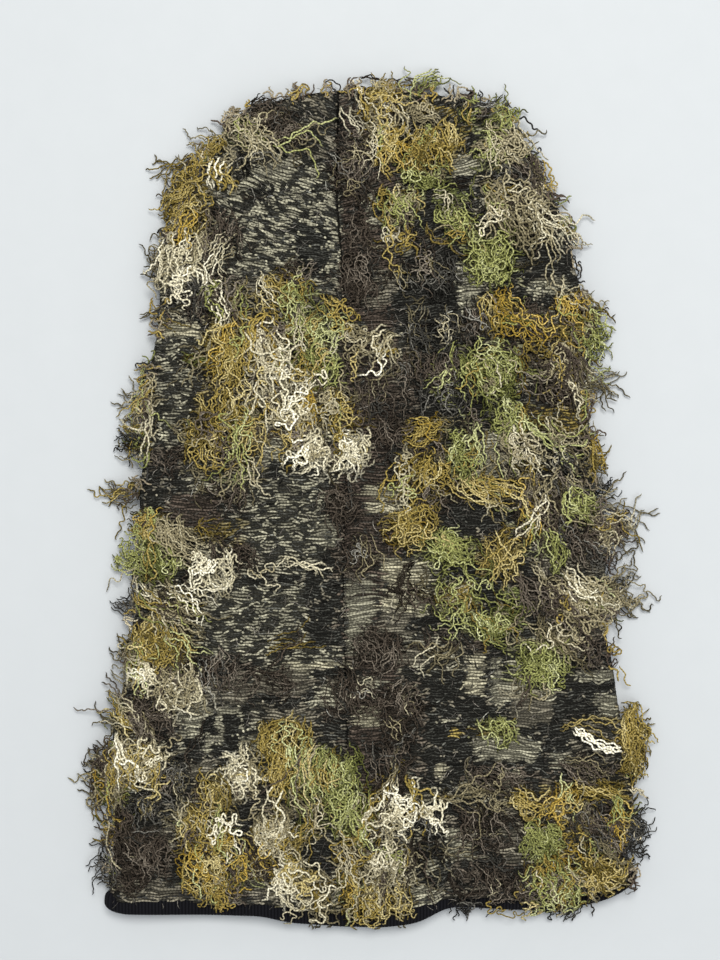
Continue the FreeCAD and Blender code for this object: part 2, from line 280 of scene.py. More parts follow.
def row_droop(x, y):
    """How far a knitted row hangs below its height at the sides, as it runs into the crown dart."""
    away = x - seam_line(y)
    depth = np.where(away < 0, DROOP_LEFT, DROOP_RIGHT)
    near = np.clip(1 - np.abs(away) / DROOP_REACH, 0, 1) ** 1.25
    droop = depth * smooth_step(y, 55, 165) * near
    return droop + 0.7 * soft_noise(x, y, 46, 31) + 0.35 * soft_noise(x, y, 13, 32)


def row_level(x, y):
    """Which knitted row a point is on, in millimetres."""
    return y + row_droop(x, y)


def row_y(x, level):
    """Where a row lies at x: the other way round from row_level."""
    y = np.array(level, float)
    for _ in range(14):
        y = level - row_droop(x, y)
    return y


def ground_height(x, y):
    """What yarn lies on: the back of the bag, and the table past its edge."""
    return on_grid(GROUND, x, y)


grid_x, grid_y = np.meshgrid(GRID_X, GRID_Y)
OVER_BAG = back_height(grid_x, grid_y, np.maximum(DISTANCE, 0))
OFF_BAG = PAPER_Z + (OVER_BAG - PAPER_Z) * np.exp(-np.maximum(-DISTANCE, 0) / 5.5)
GROUND = np.where(DISTANCE > 0, OVER_BAG, OFF_BAG)

# ------------------------------------------------------------------ mesh helpers


def make_object(name, points, faces, material):
    """A mesh object from points in millimetres and faces, all with the same count of corners."""
    faces = np.asarray(faces, np.int32)
    mesh = bpy.data.meshes.new(name)
    mesh.vertices.add(len(points))
    mesh.vertices.foreach_set("co", (np.asarray(points, float) * MM).astype(np.float32).ravel())
    mesh.loops.add(faces.size)
    mesh.loops.foreach_set("vertex_index", faces.ravel())
    mesh.polygons.add(len(faces))
    mesh.polygons.foreach_set("loop_start", np.arange(0, faces.size, faces.shape[1], dtype=np.int32))
    mesh.update(calc_edges=True)
    mesh.polygons.foreach_set("use_smooth", np.full(len(faces), True))
    mesh.materials.append(material)
    thing = bpy.data.objects.new(name, mesh)
    bpy.context.scene.collection.objects.link(thing)
    return thing


def set_point_values(thing, name, values):
    """A number or a colour on each vertex, for a material to read."""
    values = np.asarray(values, np.float32)
    if values.ndim == 1:
        layer = thing.data.attributes.new(name, "FLOAT", "POINT")
        layer.data.foreach_set("value", values)
    else:
        layer = thing.data.color_attributes.new(name, "FLOAT_COLOR", "POINT")
        rgba = np.column_stack([values[:, :3], np.ones(len(values))]).astype(np.float32)
        layer.data.foreach_set("color", rgba.ravel())


def set_uv(thing, values, faces):
    """A UV map from one pair of numbers per vertex."""
    layer = thing.data.uv_layers.new(name="yarn")
    layer.data.foreach_set("uv", np.asarray(values, np.float32)[np.asarray(faces).ravel()].ravel())


def grid_faces(rows, columns, flip=False, closed=False):
    """Quads between rows of points; closed joins the last column to the first."""
    r, c = np.meshgrid(np.arange(rows - 1), np.arange(columns if closed else columns - 1), indexing="ij")
    here, beside = (r * columns + c).ravel(), (r * columns + (c + 1) % columns).ravel()
    quads = np.column_stack([here, beside, beside + columns, here + columns])
    return quads[:, ::-1] if flip else quads


# ------------------------------------------------------------------ materials


class Nodes:
    """Short words for building a shader."""

    def __init__(self, name):
        self.material = bpy.data.materials.new(name)
        self.material.use_nodes = True
        self.tree = self.material.node_tree
        self.shader = self.tree.nodes["Principled BSDF"]

    def add(self, kind, **settings):
        node = self.tree.nodes.new(kind)
        for key, value in settings.items():
            if key.startswith("in_"):
                node.inputs[key[3:].replace("_", " ")].default_value = value
            else:
                setattr(node, key, value)
        return node

    def join(self, source, target):
        self.tree.links.new(source, target)

    def put(self, value, socket):
        """Gives a socket a number, a colour, or the output of another node."""
        if isinstance(value, (int, float)):
            socket.default_value = value
        elif isinstance(value, tuple):
            socket.default_value = (*value, 1)
        else:
            self.join(value, socket)

    def math(self, operation, first, second=None, clamp=False):
        node = self.add("ShaderNodeMath", operation=operation, use_clamp=clamp)
        self.put(first, node.inputs[0])
        if second is not None:
            self.put(second, node.inputs[1])
        return node.outputs[0]

    def times(self, first, second):
        return self.math("MULTIPLY", first, second)

    def plus(self, first, second):
        return self.math("ADD", first, second)

    def humps(self, value, pitch):
        """Rounded humps, each as wide as the pitch."""
        return self.math("SINE", self.times(self.math("FRACT", self.math("DIVIDE", value, pitch)), math.pi))

    def mix(self, factor, first, second):
        node = self.add("ShaderNodeMix", data_type="RGBA")
        for socket, value in ((node.inputs[0], factor), (node.inputs[6], first), (node.inputs[7], second)):
            self.put(value, socket)
        return node.outputs[2]

    def shaded(self, colour, shade):
        """A colour made darker or lighter by a number."""
        node = self.add("ShaderNodeMix", data_type="RGBA", blend_type="MULTIPLY")
        node.inputs[0].default_value = 1.0
        self.join(colour, node.inputs[6])
        self.join(self.vector(shade, shade, shade), node.inputs[7])
        return node.outputs[2]

    def noise(self, vector, scale, detail, rough):
        node = self.add("ShaderNodeTexNoise", in_Scale=scale, in_Detail=detail, in_Roughness=rough)
        self.join(vector, node.inputs["Vector"])
        return node.outputs["Fac"]

    def vector(self, x, y, z=0.0):
        node = self.add("ShaderNodeCombineXYZ")
        for socket, value in zip(node.inputs, (x, y, z)):
            self.put(value, socket)
        return node.outputs[0]

    def number(self, name):
        """A number that the mesh carries on its vertices."""
        return self.add("ShaderNodeAttribute", attribute_name=name).outputs["Fac"]

    def colour(self, name):
        """A colour that the mesh carries on its vertices."""
        return self.add("ShaderNodeAttribute", attribute_name=name).outputs["Color"]

    def uv(self):
        split = self.add("ShaderNodeSeparateXYZ")
        self.join(self.add("ShaderNodeUVMap", uv_map="yarn").outputs[0], split.inputs[0])
        return split.outputs[0], split.outputs[1]

    def place(self):
        return self.add("ShaderNodeTexCoord").outputs["Object"]

    def plies(self, u, v):
        """Slanting bands along a tube of yarn, from where one ply turns over the other; the materials use them
        as bump and as painted shade in the grooves.
        """
        turn = self.plus(self.math("DIVIDE", v, PLY_PITCH), u)
        return self.math("ABSOLUTE", self.math("SINE", self.times(turn, math.pi)))

    def bump(self, height, strength, distance):
        node = self.add("ShaderNodeBump", in_Strength=strength, in_Distance=distance)
        self.join(height, node.inputs["Height"])
        self.join(node.outputs[0], self.shader.inputs["Normal"])

    def cloth(self, colour, roughness, sheen, sheen_roughness=0.5):
        self.join(colour, self.shader.inputs["Base Color"])
        self.shader.inputs["Roughness"].default_value = roughness
        self.shader.inputs["Sheen Weight"].default_value = sheen
        self.shader.inputs["Sheen Roughness"].default_value = sheen_roughness
        self.shader.inputs["Specular IOR Level"].default_value = 0.02
        return self.material


def knit_material():
    """The ground of the knitting: dark fuzzy rows, a little tinted by the yarn that lies over it, with painted
    shade in the slits between rows and between stitches.
    """
    n = Nodes("camouflage_knit")
    u, v = n.uv()
    fibre = n.noise(n.vector(n.times(u, 1.1), n.times(v, 2.2)), 1.5, 4.0, 0.75)
    row_wave = n.humps(v, ROW_PITCH / 2)
    wale_wave = n.humps(u, WALE_PITCH)
    ground = n.mix(fibre, (0.006, 0.006, 0.005), (0.052, 0.050, 0.042))
    tint = n.math("MULTIPLY", n.math("POWER", n.number("share"), 2.5), 0.6, clamp=True)
    colour = n.mix(tint, ground, n.colour("accent"))
    # painted shade: the colour is darkened in the slits between rows and between stitches
    shade = n.plus(0.12, n.times(row_wave, n.plus(0.50, n.times(wale_wave, 0.5))))
    n.bump(n.plus(n.times(row_wave, wale_wave), n.times(fibre, 0.8)), 1.0, 0.0006)
    return n.cloth(n.shaded(colour, shade), 0.95, 0.01, 0.6)


def float_material():
    """Yarn that lies along the rows on top of the ground, coloured strand by strand, with painted shade in the
    grooves between its plies and on its underside.
    """
    n = Nodes("camouflage_floats")
    u, v = n.uv()
    tone = n.number("tone")
    fuzz = n.noise(n.vector(n.times(u, 3.0), n.times(v, 1.2), tone), 1.6, 3.0, 0.7)
    ply = n.plies(u, v)
    # painted shade: the ply bands darken the grooves between the plies; the noise is the yarn's own uneven tone
    light = n.plus(n.times(fuzz, 1.1), n.times(ply, 0.45))
    shade = n.plus(n.times(light, n.plus(0.42, tone)), 0.05)
    n.bump(n.plus(ply, fuzz), 0.8, 0.0003)
    # painted shade: the side of each tube turned away from its open side is darkened by a number on its
    # vertices
    return n.cloth(n.shaded(n.colour("accent"), n.times(shade, n.number("painted_underside_shade"))), 0.95, 0.02, 0.6)


def yarn_material(name):
    """Crimped two-ply yarn: 'accent' gives each strand its colour, and the plies show as slanting bands of
    painted shade and bump. Yarn that lies low and the underside of each tube get painted shade too.
    """
    n = Nodes(name)
    u, v = n.uv()
    fuzz = n.noise(n.vector(n.times(u, 2.0), n.times(v, 0.8), n.number("tone")), 1.0, 3.0, 0.7)
    ply = n.plies(u, v)
    # painted shade: the ply bands darken the grooves between the plies, and yarn that lies low is darkened by
    # its depth number; the noise is the yarn's own uneven tone
    light = n.plus(fuzz, n.times(ply, 0.55))
    shade = n.times(n.plus(0.28, light), n.number("depth"))
    n.bump(n.plus(ply, n.times(fuzz, 0.5)), 0.9, 0.0003)
    # painted shade: the side of each tube turned away from its open side is darkened by a number on its
    # vertices
    return n.cloth(n.shaded(n.colour("accent"), n.times(shade, n.number("painted_underside_shade"))), 0.9, 0.03, 0.4)


def rib_material():
    """Fine black rib with lint, and painted shade in the grooves between the ribs."""
    n = Nodes("hem_rib")
    u, v = n.uv()
    fibre = n.noise(n.vector(n.times(u, 0.9), n.times(v, 2.5)), 1.8, 4.0, 0.7)
    rib = n.math("ABSOLUTE", n.math("SINE", n.times(u, math.pi / RIB_PITCH)))
    stitches = n.math("ABSOLUTE", n.math("SINE", n.times(v, math.pi / RIB_STITCH)))
    base = n.mix(fibre, (0.003, 0.003, 0.004), (0.015, 0.015, 0.018))
    n.bump(n.plus(n.times(stitches, 0.4), fibre), 0.6, 0.0004)
    # painted shade: the colour is darkened in the grooves between the ribs
    return n.cloth(n.shaded(base, n.plus(0.35, n.times(rib, 0.8))), 0.9, 0.02)


def thread_material():
    """Twisted black sewing thread."""
    n = Nodes("sewing_thread")
    lint = n.noise(n.place(), 900.0, 3.0, 0.7)
    n.bump(lint, 0.6, 0.0003)
    return n.cloth(n.mix(lint, (0.006, 0.006, 0.007), (0.05, 0.05, 0.052)), 0.75, 0.2)


# dark, middle and light shades of each yarn; amber turns up only among strands of mustard
YARNS = {
    "cream": ((0.24, 0.21, 0.12), (0.60, 0.55, 0.39), (0.84, 0.80, 0.64)),
    "mustard": ((0.048, 0.036, 0.008), (0.30, 0.225, 0.060), (0.55, 0.47, 0.235)),
    "amber": ((0.065, 0.042, 0.006), (0.36, 0.245, 0.045), (0.60, 0.46, 0.16)),
    "green": ((0.050, 0.055, 0.013), (0.285, 0.295, 0.100), (0.53, 0.54, 0.29)),
    "tan": ((0.060, 0.050, 0.026), (0.30, 0.26, 0.155), (0.58, 0.535, 0.385)),
    "brown": ((0.011, 0.009, 0.006), (0.072, 0.057, 0.043), (0.21, 0.18, 0.14)),
    "charcoal": ((0.009, 0.009, 0.007), (0.044, 0.042, 0.036), (0.26, 0.248, 0.21)),
}
KNIT = knit_material()
FLOATS = float_material()
RIB = rib_material()
THREAD = thread_material()

# ------------------------------------------------------------------ where the tufts are

# (x, y, half width, half height, flow in degrees, strands, how curly, how high)
TUFTS = {
    "cream": (
        (-84, 106, 11, 15, -110, 50, 1.0, 6), (-64, 149, 6, 8, -80, 22, 0.8, 5),
        (-43, 66, 10, 16, -80, 90, 1.3, 6), (3, 72, 12, 15, -100, 26, 1.3, 6),
        (-33, 43, 9, 12, -70, 66, 1.3, 6), (-23, 23, 9, 9, -90, 62, 1.4, 5),
        (-6, 22, 7, 11, -100, 58, 1.4, 5), (-70, -31, 9, 13, -90, 56, 1.2, 6),
        (-100, -77, 9, 7, -100, 34, 1.1, 5), (-82, -86, 9, 13, -85, 66, 1.1, 6),
        (-104, -116, 14, 8, -95, 40, 1.2, 6), (-54, -122, 8, 12, -95, 66, 1.1, 6),
        (-42, -145, 8, 14, -85, 70, 1.2, 6), (-28, -171, 12, 15, -90, 96, 1.3, 6),
        (19, -138, 15, 11, -80, 66, 1.2, 6), (12, -160, 8, 16, -90, 26, 1.0, 5),
        (-101, 36, 4, 14, -100, 22, 0.8, 4), (106, -107, 12, 6, -30, 6, 0.4, 6),
    ),
    "mustard": (
        (-81, 134, 9, 19, -115, 110, 0.8, 6), (-70, 160, 5, 9, 150, 20, 0.9, 5),
        (-37, 95, 11, 6, -70, 48, 0.9, 5), (-61, 67, 9, 19, -95, 100, 1.0, 6),
        (-61, 33, 17, 21, -95, 170, 1.1, 6), (-12, 42, 10, 11, -90, 50, 1.1, 6),
        (-13, 84, 6, 5, -60, 20, 0.9, 5), (8, 181, 9, 7, 60, 50, 1.2, 5), (11, 161, 6, 9, -95, 40, 0.9, 5),
        (29, 157, 10, 8, -95, 66, 1.0, 6), (37, 162, 4, 9, -90, 26, 0.4, 5),
        (61, 85, 9, 7, -70, 52, 1.0, 5), (95, 84, 9, 11, -60, 60, 1.0, 6),
        (72, 78, 14, 5, -20, 26, 0.8, 4), (27, 32, 9, 5, -170, 36, 0.8, 5),
        (28, 12, 10, 12, -90, 52, 1.1, 5), (22, -10, 12, 9, -140, 66, 1.0, 5),
        (60, -25, 8, 10, -115, 56, 0.8, 5), (57, 6, 15, 4, -20, 34, 0.8, 4),
        (75, -8, 4, 13, -95, 20, 0.7, 4), (105, 22, 4, 12, -80, 26, 0.9, 4),
        (-98, -10, 8, 6, -120, 40, 1.0, 5), (-92, -65, 12, 10, -95, 92, 1.1, 6),
        (-66, -14, 12, 7, -70, 12, 0.9, 4), (-104, 30, 5, 12, -60, 26, 0.8, 4),
        (-110, 2, 4, 4, 170, 10, 0.9, 3), (-104, -118, 13, 8, -95, 46, 1.1, 6),
        (-116, -130, 7, 15, -100, 50, 1.0, 5), (-68, -130, 7, 8, -90, 44, 1.1, 5),
        (-70, -147, 13, 10, -90, 76, 1.2, 6), (-68, -168, 12, 15, -90, 124, 1.3, 6),
        (-50, -160, 9, 8, -60, 52, 1.1, 6), (-36, -105, 11, 6, -100, 66, 0.8, 5),
        (-38, -120, 7, 11, -92, 66, 0.6, 6), (-1, -178, 8, 13, -90, 70, 0.9, 6),
        (12, -182, 8, 8, -95, 34, 1.0, 5), (73, -135, 8, 5, -30, 26, 1.0, 5),
        (89, -134, 7, 9, -100, 50, 0.8, 6), (106, -167, 11, 8, -30, 64, 1.0, 6),
        (122, -108, 5, 17, -80, 100, 0.6, 6), (116, -143, 8, 12, -70, 44, 0.7, 5),
        (108, -129, 14, 3, -8, 26, 0.5, 4), (-30, -152, 10, 6, -90, 22, 0.9, 4),
        (84, -168, 9, 12, -80, 30, 1.0, 5), (104, -100, 10, 4, -20, 6, 0.6, 4),
    ),
    "green": (
        (-52, 166, 8, 6, -60, 12, 0.8, 5), (-30, 90, 10, 8, -80, 30, 1.1, 5),
        (-23, 76, 10, 9, -90, 56, 1.1, 5), (-21, 62, 9, 7, -60, 40, 1.0, 5),
        (16, 133, 9, 9, -80, 66, 1.2, 5), (35, 125, 9, 5, -30, 44, 1.1, 5),
        (26, 146, 10, 4, -30, 26, 1.0, 5), (56, 109, 11, 12, -80, 92, 1.1, 6),
        (61, 176, 5, 8, 70, 22, 0.7, 5), (46, 172, 4, 8, 80, 14, 0.6, 5),
        (57, 158, 4, 10, -90, 22, 0.8, 5), (30, 190, 12, 5, 70, 16, 1.0, 5),
        (55, 60, 13, 13, -90, 110, 1.2, 6), (106, 70, 5, 17, -50, 34, 1.1, 5),
        (66, 36, 7, 9, -90, 60, 1.0, 6), (45, 22, 6, 13, -90, 60, 1.1, 5),
        (96, -1, 10, 5, -40, 36, 1.2, 5), (36, -21, 13, 8, -40, 86, 1.2, 5),
        (85, -21, 4, 9, -90, 28, 0.7, 5), (41, -43, 7, 8, -80, 52, 1.2, 5),
        (57, -55, 10, 7, -40, 56, 1.1, 5), (78, -73, 12, 11, -80, 110, 1.1, 6),
        (58, -103, 9, 6, -60, 24, 1.2, 5), (-94, -27, 11, 6, -90, 70, 1.2, 5),
        (-108, -24, 4, 6, 180, 18, 1.2, 4), (-100, -15, 7, 6, -80, 20, 1.0, 4),
        (-26, -121, 8, 13, -92, 84, 0.6, 6), (-11, -121, 8, 8, -85, 54, 1.0, 6),
        (-3, -146, 8, 16, -90, 46, 0.7, 5), (-12, -136, 8, 9, -90, 40, 0.8, 5),
        (79, -152, 8, 12, -75, 86, 1.1, 6), (87, -175, 10, 12, -80, 92, 1.1, 6),
        (70, -184, 20, 3, -60, 14, 1.0, 4), (73, -12, 5, 12, -95, 12, 0.8, 5),
    ),
    "tan": (
        (-51, 163, 11, 9, -60, 60, 0.7, 6), (-30, 159, 7, 5, 0, 10, 1.2, 5),
        (4, 66, 14, 16, -90, 40, 1.3, 5), (-62, 90, 9, 9, -95, 66, 0.9, 5),
        (-73, 65, 5, 12, -110, 40, 0.9, 5), (-92, 84, 9, 3, -10, 14, 0.2, 2),
        (-82, 142, 9, 14, 125, 26, 0.6, 5), (-91, 108, 6, 12, -130, 34, 1.0, 5),
        (8, 176, 11, 12, -60, 62, 1.2, 6), (63, 160, 13, 11, -60, 84, 1.1, 6),
        (68, 130, 16, 16, -60, 150, 1.2, 7), (84, 124, 5, 8, -20, 16, 0.9, 5),
        (13, 116, 6, 7, -80, 24, 1.2, 5), (98, 88, 8, 9, -40, 34, 1.0, 6),
        (82, 62, 11, 10, -70, 40, 1.1, 5), (104, 60, 6, 14, -50, 26, 1.1, 5),
        (-101, 44, 4, 13, -100, 36, 0.7, 4), (-50, 48, 10, 9, -70, 34, 1.1, 5),
        (-15, 48, 12, 9, -90, 30, 1.2, 5), (-63, 12, 17, 8, -80, 32, 1.0, 5),
        (-112, 4, 5, 4, 175, 12, 0.8, 3), (-85, -16, 12, 6, -40, 60, 0.8, 5),
        (-88, -46, 15, 11, -35, 116, 0.7, 6), (-84, -82, 9, 12, -95, 40, 1.0, 5),
        (-101, -68, 8, 9, -110, 40, 1.0, 5), (-38, -28, 18, 5, -15, 12, 0.7, 4),
        (-30, -70, 18, 10, 10, 10, 0.8, 3), (17, 11, 11, 9, -80, 50, 1.2, 5),
        (71, 24, 9, 7, -40, 50, 1.1, 6), (88, 28, 12, 8, -30, 30, 0.9, 6),
        (80, -4, 8, 12, -100, 40, 0.9, 5), (110, -13, 9, 10, 5, 84, 1.1, 5),
        (98, -45, 16, 13, -30, 170, 1.2, 7), (116, -42, 6, 11, -10, 40, 1.1, 4),
        (86, -63, 12, 8, -60, 66, 1.1, 6), (22, -40, 14, 12, -70, 34, 1.1, 5),
        (30, -68, 13, 9, -130, 20, 0.9, 5), (74, -84, 11, 5, -100, 24, 0.7, 4),
        (-110, -97, 8, 9, 165, 46, 0.9, 5), (-119, -124, 7, 16, -120, 70, 0.8, 5),
        (-80, -143, 6, 10, -85, 36, 1.0, 5), (-104, -112, 14, 9, -80, 34, 1.1, 5),
        (-113, -150, 5, 12, -110, 34, 1.0, 4), (9, -138, 10, 22, -92, 100, 0.7, 6),
        (10, -168, 10, 20, -90, 110, 0.9, 6), (54, -131, 17, 5, -10, 34, 1.1, 5),
        (-22, -182, 12, 6, -80, 34, 1.2, 5), (-6, -160, 8, 14, -90, 40, 0.8, 6),
        (110, -156, 8, 9, -50, 26, 0.9, 6), (103, -170, 9, 7, -60, 30, 1.0, 5),
        (16, 190, 14, 5, 80, 20, 1.2, 5), (-84, -62, 10, 8, -60, 24, 1.0, 5),
    ),
    "brown": (
        (-44, 175, 13, 6, 0, 90, 1.6, 5), (-36, 165, 8, 6, -80, 46, 1.5, 5),
        (-66, 117, 9, 15, -85, 96, 0.9, 5), (-75, 91, 5, 9, -90, 36, 1.1, 5),
        (-4, 150, 9, 20, -90, 120, 1.3, 4), (-2, 108, 9, 22, -90, 120, 1.3, 4),
        (3, 178, 9, 8, -60, 40, 1.4, 4), (74, 148, 7, 9, -80, 50, 1.2, 5),
        (72, 132, 12, 12, -80, 46, 1.2, 4), (78, 80, 14, 9, -40, 56, 1.1, 4),
        (44, 82, 9, 8, -60, 40, 1.2, 4), (88, 56, 14, 14, -80, 90, 1.2, 4),
        (27, 60, 14, 12, -90, 66, 1.3, 4), (12, 40, 10, 20, -90, 90, 1.3, 4),
        (22, 20, 14, 14, -90, 46, 1.2, 4), (-60, 4, 12, 8, -90, 34, 1.2, 4),
        (-9, -2, 8, 11, -80, 66, 1.2, 4), (-4, -26, 8, 10, -90, 56, 1.2, 4),
        (-60, -24, 10, 8, -70, 34, 1.2, 4), (84, 0, 14, 14, -70, 90, 1.2, 5),
        (92, -18, 14, 10, -80, 80, 1.2, 5), (86, -40, 14, 10, -70, 46, 1.1, 4),
        (-69, -75, 10, 9, -90, 66, 1.1, 4), (6, -66, 10, 16, -90, 96, 1.2, 4),
        (-6, -86, 14, 12, -70, 60, 1.1, 4), (-44, -80, 16, 8, -60, 40, 1.1, 3),
        (16, -94, 10, 16, -90, 96, 1.2, 4), (14, -118, 10, 10, -90, 56, 1.1, 4),
        (-99, -95, 12, 11, -60, 96, 1.2, 5), (-101, -157, 12, 14, -70, 120, 1.3, 5),
        (-106, -172, 9, 7, -60, 36, 1.2, 4), (54, -148, 12, 12, -80, 66, 1.0, 4),
        (54, -172, 13, 12, -85, 96, 0.8, 4), (74, -172, 9, 12, -80, 40, 1.0, 4),
        (112, -146, 10, 12, -60, 66, 1.0, 5), (100, -120, 16, 7, -10, 40, 0.8, 4),
        (60, -124, 16, 6, -20, 34, 1.0, 4), (40, -64, 14, 8, -80, 24, 1.1, 3),
        (-26, 102, 14, 5, -60, 24, 1.0, 3), (-88, 20, 9, 6, -80, 14, 1.0, 3),
        (100, -66, 9, 8, -80, 24, 1.1, 4), (34, -2, 12, 9, -60, 20, 1.1, 4),
    ),
    "charcoal": (
        (27, 100, 15, 14, -80, 96, 1.3, 4), (30, 76, 14, 12, -80, 80, 1.3, 4),
        (50, 178, 12, 7, 30, 36, 1.0, 4), (-50, 152, 10, 5, -70, 30, 1.2, 4),
        (92, 20, 12, 8, -60, 40, 1.2, 4), (108, 4, 5, 9, 0, 18, 1.1, 4), (-106, 24, 5, 6, 180, 16, 1.1, 4),
        (-108, -44, 4, 10, -120, 18, 0.9, 4), (-86, -121, 6, 8, -90, 40, 1.3, 4),
        (-118, -166, 4, 9, -140, 22, 1.2, 3), (99, -146, 9, 12, -80, 66, 1.2, 4),
        (124, -150, 4, 14, -40, 44, 1.3, 4), (-98, -136, 10, 8, -70, 44, 1.2, 4),
        (104, -24, 8, 8, -10, 22, 1.1, 4), (26, -146, 8, 10, -80, 34, 1.1, 4),
        (-48, 138, 5, 5, -80, 12, 1.0, 3), (88, -186, 12, 3, -70, 16, 1.2, 3),
        (46, -184, 8, 3, -80, 16, 1.2, 3), (36, 48, 12, 12, -80, 50, 1.3, 4),
        (114, -36, 4, 9, 10, 10, 1.0, 4), (68, 144, 8, 6, -80, 20, 1.1, 4),
    ),
}
# thin, low yarn spread over wider places, between and under the tufts: the same kinds of numbers
FILLERS = {
    "cream": (
        (-35, 50, 18, 26, -80, 18, 1.2, 5), (-40, -150, 22, 20, -85, 14, 1.1, 5),
    ),
    "mustard": (
        (-50, 78, 18, 14, -80, 40, 1.1, 4), (-30, 50, 26, 26, -85, 60, 1.1, 4),
        (60, 10, 26, 22, -80, 50, 1.0, 4), (-60, -158, 22, 18, -85, 50, 1.1, 4),
        (-10, -165, 20, 16, -85, 40, 1.1, 4), (85, 62, 18, 20, -70, 36, 1.0, 4),
        (98, -158, 16, 20, -70, 40, 1.0, 4), (15, 165, 18, 14, -60, 40, 1.1, 4),
        (-84, 146, 12, 20, -110, 36, 0.9, 4), (-95, -70, 14, 22, -90, 40, 1.0, 4),
    ),
    "green": (
        (-25, 70, 18, 24, -80, 40, 1.1, 4), (50, 40, 22, 40, -80, 60, 1.1, 4),
        (50, 130, 26, 24, -60, 50, 1.1, 4), (50, -40, 26, 22, -60, 40, 1.1, 4),
        (-20, -130, 22, 22, -85, 40, 0.9, 4), (85, -165, 18, 22, -80, 40, 1.0, 4),
    ),
    "tan": (
        (-40, 58, 30, 28, -85, 100, 1.1, 4), (-60, 30, 24, 20, -80, 50, 1.0, 4),
        (-20, 30, 22, 22, -85, 60, 1.1, 4), (-45, -150, 34, 26, -85, 80, 1.0, 4),
        (10, 172, 22, 14, -60, 60, 1.1, 4), (90, 70, 18, 34, -70, 80, 1.0, 4),
        (75, 10, 28, 34, -75, 90, 1.0, 4), (80, -50, 26, 22, -60, 70, 1.1, 4),
        (95, -155, 22, 26, -75, 70, 1.0, 4), (-95, -60, 16, 40, -90, 80, 1.0, 4),
        (-105, -130, 14, 26, -100, 50, 1.0, 4), (-80, 120, 12, 30, -100, 50, 0.9, 4),
        (30, -160, 16, 20, -80, 30, 1.0, 4),
    ),
    "brown": (
        (50, 110, 34, 40, -70, 60, 1.2, 3), (60, 30, 40, 50, -70, 90, 1.2, 3),
        (-60, -150, 30, 26, -80, 50, 1.1, 3), (90, -150, 26, 30, -70, 50, 1.1, 3),
        (-90, -60, 22, 70, -80, 70, 1.1, 3), (-40, 50, 40, 34, -80, 50, 1.1, 3),
    ),
    "charcoal": (),
}
# length in mm; thickness and strands as shares of the usual; share of locks that sag along a row; how much
# the curls are tightened; points per strand; sides of its tube; share kept of the overhang past its tuft
Habit = namedtuple("Habit", "length thick strands sagging curl points sides overhang")
HABITS = {
    "cream": Habit(26, 1.0, 0.9, 0.22, 1.15, 38, 6, 0.6),
    "mustard": Habit(27, 0.86, 0.98, 0.2, 1.0, 38, 4, 0.55),
    "green": Habit(24, 0.86, 0.95, 0.16, 1.1, 37, 4, 0.6),
    "tan": Habit(31, 0.93, 0.70, 0.3, 1.0, 40, 4, 0.85),
    "brown": Habit(18, 0.72, 1.05, 0.3, 0.75, 25, 4, 0.7),
    "charcoal": Habit(17, 0.72, 1.1, 0.2, 0.75, 25, 4, 0.7),
}
# colours that turn up among the strands of a tuft, and how often
STRAYS = {
    "cream": (("tan", "tan", "mustard"), 0.3),
    "mustard": (("tan", "green", "amber", "amber", "brown"), 0.40),
    "green": (("mustard", "tan", "mustard"), 0.30),
    "tan": (("cream", "mustard", "brown", "brown", "green"), 0.34),
    "brown": (("tan", "charcoal", "charcoal"), 0.22),
    "charcoal": (("brown", "tan"), 0.22),
}
# faces that one piece of yarn may have
PIECE_FACES = 190000

YARN = {name: yarn_material(f"{name}_yarn") for name in TUFTS}

# ------------------------------------------------------------------ camouflage of the knitting

TAN, PALE, TAUPE = (0.41, 0.39, 0.285), (0.55, 0.51, 0.355), (0.25, 0.228, 0.17)
BROWN, OLIVE, GREEN = (0.115, 0.090, 0.070), (0.30, 0.23, 0.07), (0.30, 0.33, 0.12)

